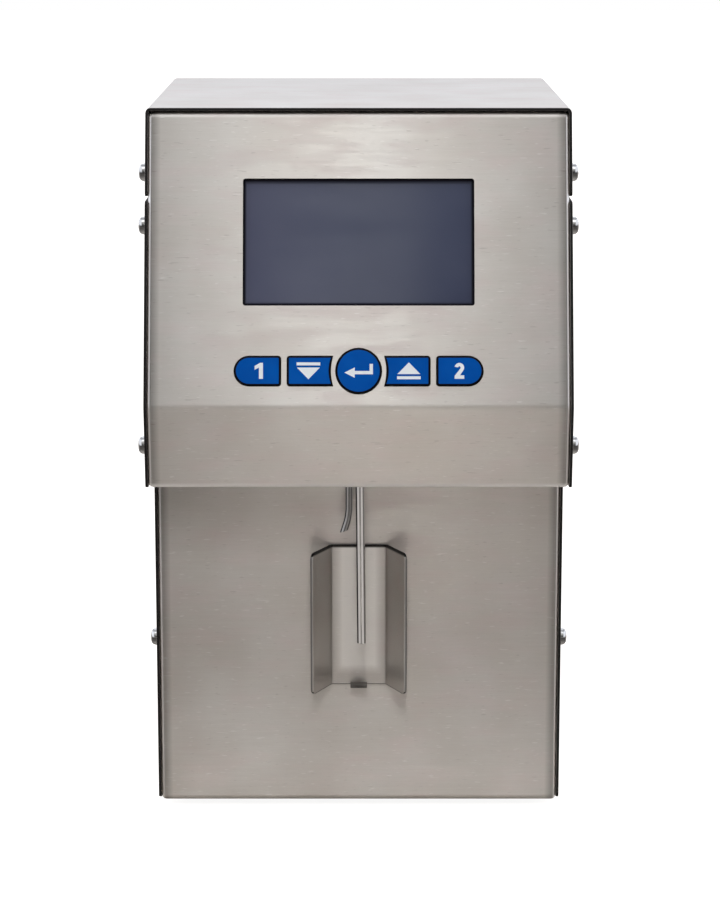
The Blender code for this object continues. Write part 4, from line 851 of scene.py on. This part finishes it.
def spun(profile):
    """A closed turned form: a closed profile of (radius, along) turned about Z."""
    work = bmesh.new()
    verts = [work.verts.new((radius, 0, along)) for radius, along in profile]
    edges = [work.edges.new((verts[i - 1], verts[i])) for i in range(len(verts))]
    bmesh.ops.spin(work, geom=verts + edges, axis=(0, 0, 1), cent=(0, 0, 0), angle=2 * pi,
                   steps=round_steps, use_merge=True)
    bmesh.ops.remove_doubles(work, verts=work.verts, dist=merge_distance)
    bmesh.ops.delete(work, geom=[edge for edge in work.edges if not edge.link_faces],
                     context="EDGES")
    bmesh.ops.recalc_face_normals(work, faces=work.faces)
    return work


def as_bmesh(guide):
    """The shape of a curve or of a piece with its modifiers, which is then taken away."""
    bpy.context.view_layer.update()
    shape = guide.evaluated_get(bpy.context.evaluated_depsgraph_get())
    mesh = bpy.data.meshes.new_from_object(shape)
    work = bmesh.new()
    work.from_mesh(mesh)
    bpy.data.meshes.remove(mesh)
    bpy.data.objects.remove(guide)
    return work


def cut_with(work, tool):
    """A bmesh with another taken out of it."""
    blank, cutter = new_piece("blank", work), new_piece("tool", tool)
    step = blank.modifiers.new("cut", "BOOLEAN")
    step.operation = "DIFFERENCE"
    step.object = cutter
    step.use_self = True
    result = as_bmesh(blank)
    bpy.data.objects.remove(cutter)
    bmesh.ops.remove_doubles(result, verts=result.verts, dist=merge_distance)
    return result


def face_frame(across, out, place):
    """A frame on a face: across it, up it and out of it, from a place."""
    return Matrix((*zip(across, out.cross(across), out, place), (0, 0, 0, 1)))


# Screws

def cross_recess():
    """The tapered cross of a driver's tip, pointing down into the head."""
    tip_height = 1.5 * recess_depth
    middle = screw_head_height - recess_depth + tip_height / 2
    work = bmesh.new()
    for turn in (0, pi / 2):
        arm = bmesh.ops.create_cube(work, size=1.0)["verts"]
        bmesh.ops.scale(work, vec=(recess_span, recess_slot, tip_height), verts=arm)
        for vert in arm:
            if vert.co.z < 0:
                vert.co.x *= recess_taper
                vert.co.y *= recess_taper
        bmesh.ops.translate(work, vec=(0, 0, middle), verts=arm)
        bmesh.ops.rotate(work, matrix=Matrix.Rotation(turn, 3, "Z"), verts=arm)
    return work


def screw_blank():
    """A pan head on its shank, the head's underside level with the origin."""
    crown = screw_head_height - screw_rim_height
    profile = [(0, -screw_shank_length), (screw_shank_radius, -screw_shank_length),
               (screw_shank_radius, 0), (screw_head_radius, 0),
               (screw_head_radius, screw_rim_height)]
    for step in range(1, dome_steps + 1):
        angle = pi / 2 * step / dome_steps
        profile.append((screw_head_radius * cos(angle) ** crown_fullness,
                        screw_rim_height + crown * sin(angle)))
    profile[-1] = (0, screw_head_height)
    return spun(profile)


def make_screws():
    """One screw, cut once, then set with its own turn in place of every screw node."""
    pattern = cut_with(screw_blank(), cross_recess())
    names = sorted(node for node in frame["nodes"] if node.startswith("screw_"))
    for number, node in enumerate(names):
        low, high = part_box(node)
        middle = (low + high) / 2
        side = 1 if middle.x > 0 else -1
        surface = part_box("right_side_cover")[1].x if side > 0 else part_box("left_side_cover")[0].x
        work = pattern.copy()
        stand = (Matrix.Translation((surface, middle.y, middle.z))
                 @ Matrix.Rotation(side * pi / 2, 4, "Y")
                 @ Matrix.Rotation(screw_turns[number % len(screw_turns)], 4, "Z"))
        bmesh.ops.transform(work, matrix=stand, verts=work.verts)
        piece = new_piece(node + "_pan_head", work, bright_steel)
        settle(shade(piece, screw_bevel, angle=screw_sharp_angle), node)
    pattern.free()


# Tubes

def make_sample_tube():
    """A long straight tube, its wall and bore turned in one, leaning as the node does."""
    low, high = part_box("sample_tube")
    length = high.z - low.z
    profile = [(sample_tube_bore, 0), (sample_tube_radius, 0), (sample_tube_radius, length),
               (sample_tube_bore, length)]
    work = spun(profile)
    lean = (high.x - low.x - 2 * sample_tube_radius) / length
    for vert in work.verts:
        vert.co.x += lean * (length - vert.co.z)
    bmesh.ops.translate(work, verts=work.verts,
                        vec=(low.x + sample_tube_radius, (low.y + high.y) / 2, low.z))
    piece = new_piece("sample_tube_drawn", work, drawn_tube)
    settle(shade(piece, sample_tube_bevel), "sample_tube")


def make_return_tube():
    """The smaller tube: straight down, a soft bend to the left, and a slanting cut."""
    low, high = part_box("return_tube")
    middle_y = (low.y + high.y) / 2
    root = Vector((high.x - return_tube_radius, middle_y, high.z))
    tip = Vector((low.x + return_tube_tip, middle_y, low.z))
    knee = Vector((root.x, middle_y, low.z + return_tube_knee))
    line = bpy.data.curves.new("return_tube", "CURVE")
    line.dimensions = "3D"
    line.bevel_depth = return_tube_radius
    line.bevel_resolution = return_tube_round_steps
    line.resolution_u = return_tube_bend_steps
    spline = line.splines.new("BEZIER")
    spline.bezier_points.add(3)
    lead = (tip - knee).normalized()
    stops = [(root, root - knee), (knee + Vector((0, 0, return_tube_bend)), Vector((0, 0, 1))),
             (knee + lead * return_tube_bend, -lead), (tip + lead * return_tube_spare, -lead)]
    for point, (place, back) in zip(spline.bezier_points, stops):
        point.co = place
        pull = back.normalized() * return_tube_bend / 2
        point.handle_left = place + pull
        point.handle_right = place - pull
    work = as_bmesh(placed("return_tube", line))
    slant = Matrix.Rotation(return_tube_cut, 3, "Y") @ Vector((0, 0, -1))
    bmesh.ops.bisect_plane(work, geom=work.verts[:] + work.edges[:] + work.faces[:],
                           plane_co=tip + Vector((0, 0, return_tube_lift)), plane_no=slant,
                           clear_outer=True)
    bmesh.ops.recalc_face_normals(work, faces=work.faces)
    piece = new_piece("return_tube_drawn", work, dull_tube)
    wall = piece.modifiers.new("wall", "SOLIDIFY")
    wall.thickness = return_tube_wall
    wall.offset = -1.0
    settle(shade(piece, return_tube_bevel), "return_tube")


# Keys

def press_axis(key):
    """The way out of the face, against the key's press."""
    joint = next(joint for joint in frame["joints"] if joint["child"] == key)
    return -Vector(joint["axis"]).normalized()


def cap_front(key):
    """Where a key's mark lies: a frame on the cap, across, up and out."""
    out = press_axis(key)
    points = [vert.co for vert in frame["nodes"][key].data.vertices]
    level = max(point.dot(out) for point in points)
    top = [point for point in points if point.dot(out) > level - merge_distance]
    low = Vector([min(point[i] for point in top) for i in range(3)])
    high = Vector([max(point[i] for point in top) for i in range(3)])
    return face_frame(Vector((1, 0, 0)), out, (low + high) / 2)


def flat_mark(outlines):
    """Raised ink: each outline is a list of points across and up, counter-clockwise."""
    work = bmesh.new()
    for outline in outlines:
        face = work.faces.new([work.verts.new((x, y, 0)) for x, y in outline])
        raised = bmesh.ops.extrude_face_region(work, geom=[face])
        bmesh.ops.translate(work, vec=(0, 0, mark_stand),
                            verts=[item for item in raised["geom"]
                                   if isinstance(item, bmesh.types.BMVert)])
    bmesh.ops.recalc_face_normals(work, faces=work.faces)
    return work


def bar(width, height, x=0.0, y=0.0):
    return [(x - width / 2, y - height / 2), (x + width / 2, y - height / 2),
            (x + width / 2, y + height / 2), (x - width / 2, y + height / 2)]


def figure_one_outline():
    return [(x * digit_height, y * digit_height) for x, y in figure_one_share]


def figure_two_outline():
    """The bow's outer side, the slope's right side, the foot, then back up inside the bow."""
    turns = [bow_start + (bow_end - bow_start) * step / bow_steps for step in range(bow_steps + 1)]
    outer = [(bow_outer_share * cos(turn), bow_middle_share + bow_outer_share * sin(turn))
             for turn in turns]
    inner = [(bow_inner_share * cos(turn), bow_middle_share + bow_inner_share * sin(turn))
             for turn in reversed(turns)]
    return [(x * digit_height, y * digit_height) for x, y in (*outer, *foot_share, *inner)][::-1]


def arrow_outlines(way):
    """A triangle that points up or down (1, -1), with a bar behind it."""
    half = (arrow_height + arrow_bar_space + arrow_bar_height) / 2
    base = -half + arrow_bar_height + arrow_bar_space
    tip = [(-arrow_width / 2, base), (arrow_width / 2, base), (0, half)]
    foot = bar(arrow_bar_width, arrow_bar_height, 0, -half + arrow_bar_height / 2)
    return [[(x, way * y) for x, y in outline[::way]] for outline in (tip, foot)]


def return_outlines():
    """A return arrow: down on the right, then left to its head."""
    right = return_mark_width / 2
    line = return_mark_line
    low = -return_mark_height / 2 + return_mark_head / 2
    neck = -right + return_mark_head
    hook = [(neck, low - line / 2), (right, low - line / 2), (right, return_mark_height / 2),
            (right - line, return_mark_height / 2), (right - line, low + line / 2),
            (neck, low + line / 2)]
    head = [(neck, low - return_mark_head / 2), (neck, low + return_mark_head / 2), (-right, low)]
    return [hook, head[::-1]]


def dress_key(key):
    """A key with a soft edge: a blue cap on its front, its thin rim and its sides black as painted
    shadow round the cap.
    """
    work = merged_copy(key)
    out = press_axis(key)
    cap = max(work.faces, key=lambda face: face.calc_center_median().dot(out))
    bmesh.ops.inset_region(work, faces=[cap], thickness=key_shadow_rim, use_even_offset=True)
    for face in work.faces:
        face.material_index = int(face is not cap)
    piece = new_piece(key + "_cap", work, key_blue, key_shadow_black)
    settle(shade(piece, key_bevel, key_bevel_steps), key, key)


def make_keys():
    marks = {"key_one": [figure_one_outline()], "key_down": arrow_outlines(-1),
             "key_enter": return_outlines(), "key_up": arrow_outlines(1),
             "key_two": [figure_two_outline()]}
    for key, outlines in marks.items():
        dress_key(key)
        work = flat_mark(outlines)
        bmesh.ops.translate(work, vec=(mark_shifts.get(key, 0), 0, 0), verts=work.verts)
        bmesh.ops.transform(work, matrix=cap_front(key), verts=work.verts)
        settle(new_piece(key + "_mark", work, mark_white), None, key)


# Rear sockets and switch

def add_hole(work, x, z, front, radius, depth):
    """A round cutter that goes in along -Y from a front level."""
    stand = Matrix.Translation((x, front, z)) @ Matrix.Rotation(pi / 2, 4, "X")
    bmesh.ops.create_cone(work, cap_ends=True, segments=hole_sides, radius1=radius, radius2=radius,
                          depth=2 * depth, matrix=stand)


def dress_port(node):
    """A nine-way socket: plated shell, black core with its pin holes, and two threaded posts."""
    low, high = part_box(node)
    middle = (low + high) / 2
    work = merged_copy(node)
    floor = max((face for face in work.faces
                 if face.normal.y > 0 and face.calc_area() > port_floor_area),
                key=lambda face: face.calc_center_bounds().y)
    level = floor.calc_center_bounds().y
    wide = max(abs(vert.co.x - middle.x) for vert in floor.verts)
    tall = max(abs(vert.co.z - middle.z) for vert in floor.verts)
    holes = bmesh.new()
    for row, count in pin_counts.items():
        for number in range(count):
            add_hole(holes, middle.x + (number - (count - 1) / 2) * pin_pitch,
                     middle.z + row * pin_row_spacing / 2, level, pin_hole_radius, pin_hole_depth)
    for side in (-1, 1):
        add_hole(holes, middle.x + side * post_place, middle.z, high.y, post_hole_radius,
                 post_hole_depth)
    work = cut_with(work, holes)
    for face in work.faces:
        within = all(abs(vert.co.x - middle.x) < wide + merge_distance
                     and abs(vert.co.z - middle.z) < tall + merge_distance
                     and vert.co.y < level + merge_distance for vert in face.verts)
        face.material_index = int(within and face.calc_center_median().y > level - pin_hole_depth
                                  - merge_distance)
    piece = new_piece(node + "_socket", work, plated_shell, black_plastic)
    settle(shade(piece, moulded_edge / 3), node)


def dress_inlet():
    """The round power socket, its middle pin bright."""
    low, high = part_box("power_inlet")
    middle = (low + high) / 2
    work = merged_copy("power_inlet")
    for face in work.faces:
        aside = max(Vector((vert.co.x - middle.x, vert.co.z - middle.z)).length
                    for vert in face.verts)
        face.material_index = int(aside < inlet_pin_radius
                                  and face.calc_center_median().y > high.y - inlet_pin_length)
    piece = new_piece("power_inlet_dressed", work, black_plastic, bright_steel)
    settle(shade(piece, moulded_edge), "power_inlet")


def make_rocker_marks():
    """The plain line and ring of an on-off switch, one on each half of the rocker."""
    shape = merged_copy("power_rocker")
    outer_faces = [face for face in shape.faces if face.normal.y > outward_facing]
    halves = sorted(sorted(outer_faces, key=lambda face: face.calc_area())[-2:],
                    key=lambda face: face.calc_center_bounds().z)
    for face, name in zip(halves, ("off", "on")):
        stand = face_frame(Vector((-1, 0, 0)), face.normal, face.calc_center_bounds())
        if name == "on":
            work = flat_mark([bar(rocker_mark_line, rocker_mark_height)])
        else:
            ring = rocker_mark_height / 2
            hole = ring - rocker_mark_line
            work = spun([(hole, 0), (ring, 0), (ring, mark_stand), (hole, mark_stand)])
        bmesh.ops.transform(work, matrix=stand, verts=work.verts)
        settle(new_piece("rocker_mark_" + name, work, mark_white), None,
               "power_rocker")
    shape.free()


# Finishes of the nodes that keep their own shape

node_finishes = (
    (display_pane, ("display_window",)),
    (clear_cover, ("pump_cover",)),
    (dark_glass, ("display_glass",)),
    (bright_steel, ("display_bezel",)),
    (milled_alloy, ("mounting_deck", "measuring_cell", "pump_bracket")),
    (drawn_steel, ("pump_motor",)),
    (board_green, ("display_board", "keypad_board", "main_board")),
    (black_plastic, ("transducer_left", "transducer_right", "pump_track", "pump_rotor")),
    (white_plastic, ("pump_roller_1", "pump_roller_2", "pump_roller_3")),
    (hose_milky, ("intake_hose", "pump_hose")),
    (ribbon_grey, ("ribbon_cable",)),
)


def paint_nodes():
    for finish, nodes in node_finishes:
        for node in nodes:
            materials = frame["nodes"][node].data.materials
            materials.clear()
            materials.append(finish)


# Studio

def make_floor():
    work = bmesh.new()
    bmesh.ops.create_grid(work, x_segments=1, y_segments=1, size=floor_size)
    material = bpy.data.materials.new("pale_floor")
    material.use_nodes = True
    tree = material.node_tree
    tree.nodes.clear()
    seen = add(tree, "ShaderNodeLightPath").outputs["Is Camera Ray"]
    paper = give(tree, add(tree, "ShaderNodeBsdfDiffuse"), color=(*floor_colour, 1))
    glow = give(tree, add(tree, "ShaderNodeEmission"),
                strength=figure(tree, "MULTIPLY", seen, floor_lift))
    both = add(tree, "ShaderNodeAddShader")
    feed(tree, paper["BSDF"], both.inputs[0])
    feed(tree, glow["Emission"], both.inputs[1])
    give(tree, add(tree, "ShaderNodeOutputMaterial"), surface=both.outputs["Shader"])
    floor = new_piece("floor", work, material)


def soft_box(name, place, target, width, height, radiance, spread=pi):
    """A soft lamp of an even brightness, turned to a target."""
    lamp = bpy.data.lights.new(name, "AREA")
    lamp.shape = "RECTANGLE"
    lamp.size = width
    lamp.size_y = height
    lamp.energy = radiance * pi * width * height
    lamp.spread = spread
    thing = placed(name, lamp)
    thing.location = place
    thing.rotation_euler = (Vector(target) - Vector(place)).to_track_quat("-Z", "Y").to_euler()


def make_surroundings():
    """White behind the object, and the dimmer half of the studio in front of it."""
    world = bpy.data.worlds.new("studio")
    bpy.context.scene.world = world
    world.use_nodes = True
    tree = world.node_tree
    background = tree.nodes["Background"]
    way = parted(tree, add(tree, "ShaderNodeTexCoord").outputs["Generated"])
    around = figure(tree, "MAXIMUM", span(tree, way["Y"], *white_behind),
                    span(tree, figure(tree, "ABSOLUTE", way["X"]), *white_beside))
    above = span(tree, way["Z"], *front_rise, *front_levels)
    front = give(tree, add(tree, "ShaderNodeCombineColor"), red=above, green=above, blue=above)
    room = mixed(tree, around, front["Color"], back_colour)
    seen = add(tree, "ShaderNodeLightPath").outputs
    direct = figure(tree, "MAXIMUM", seen["Is Camera Ray"], seen["Is Transmission Ray"])
    give(tree, background, color=mixed(tree, direct, room, (1.0, 1.0, 1.0)), strength=1.0)


def make_camera():
    view = bpy.data.cameras.new("camera")
    view.lens = camera_lens
    view.sensor_width = camera_sensor
    view.clip_start = camera_clip
    thing = placed("camera", view)
    thing.location = camera_place
    thing.rotation_euler = (pi / 2 - camera_fall, 0, 0)
    bpy.context.scene.camera = thing


def main():
    make_camera()
    dress_sheet("top_cover", steel)
    for node, finish in bent_sheets.items():
        dress_sheet(node, finish)
    dress_sheet("cup_cradle", cradle_steel)
    for node in ("left_side_cover", "right_side_cover"):
        dress_sheet(node, side_steel)
    make_screws()
    make_sample_tube()
    make_return_tube()
    make_keys()
    dress_port("data_port_1")
    dress_port("data_port_2")
    dress_inlet()
    dress_plain("power_switch", black_plastic)
    dress_plain("power_rocker", black_plastic, "power_rocker")
    make_rocker_marks()
    dress_plain("tube_collar", black_plastic)
    for place in ("front_left", "front_right", "rear_left", "rear_right"):
        dress_plain("foot_" + place, black_rubber)
    paint_nodes()
    make_floor()
    make_surroundings()
    for name, values in lamps.items():
        soft_box(name, **values)
    bpy.context.scene.view_settings.view_transform = "Standard"


main()
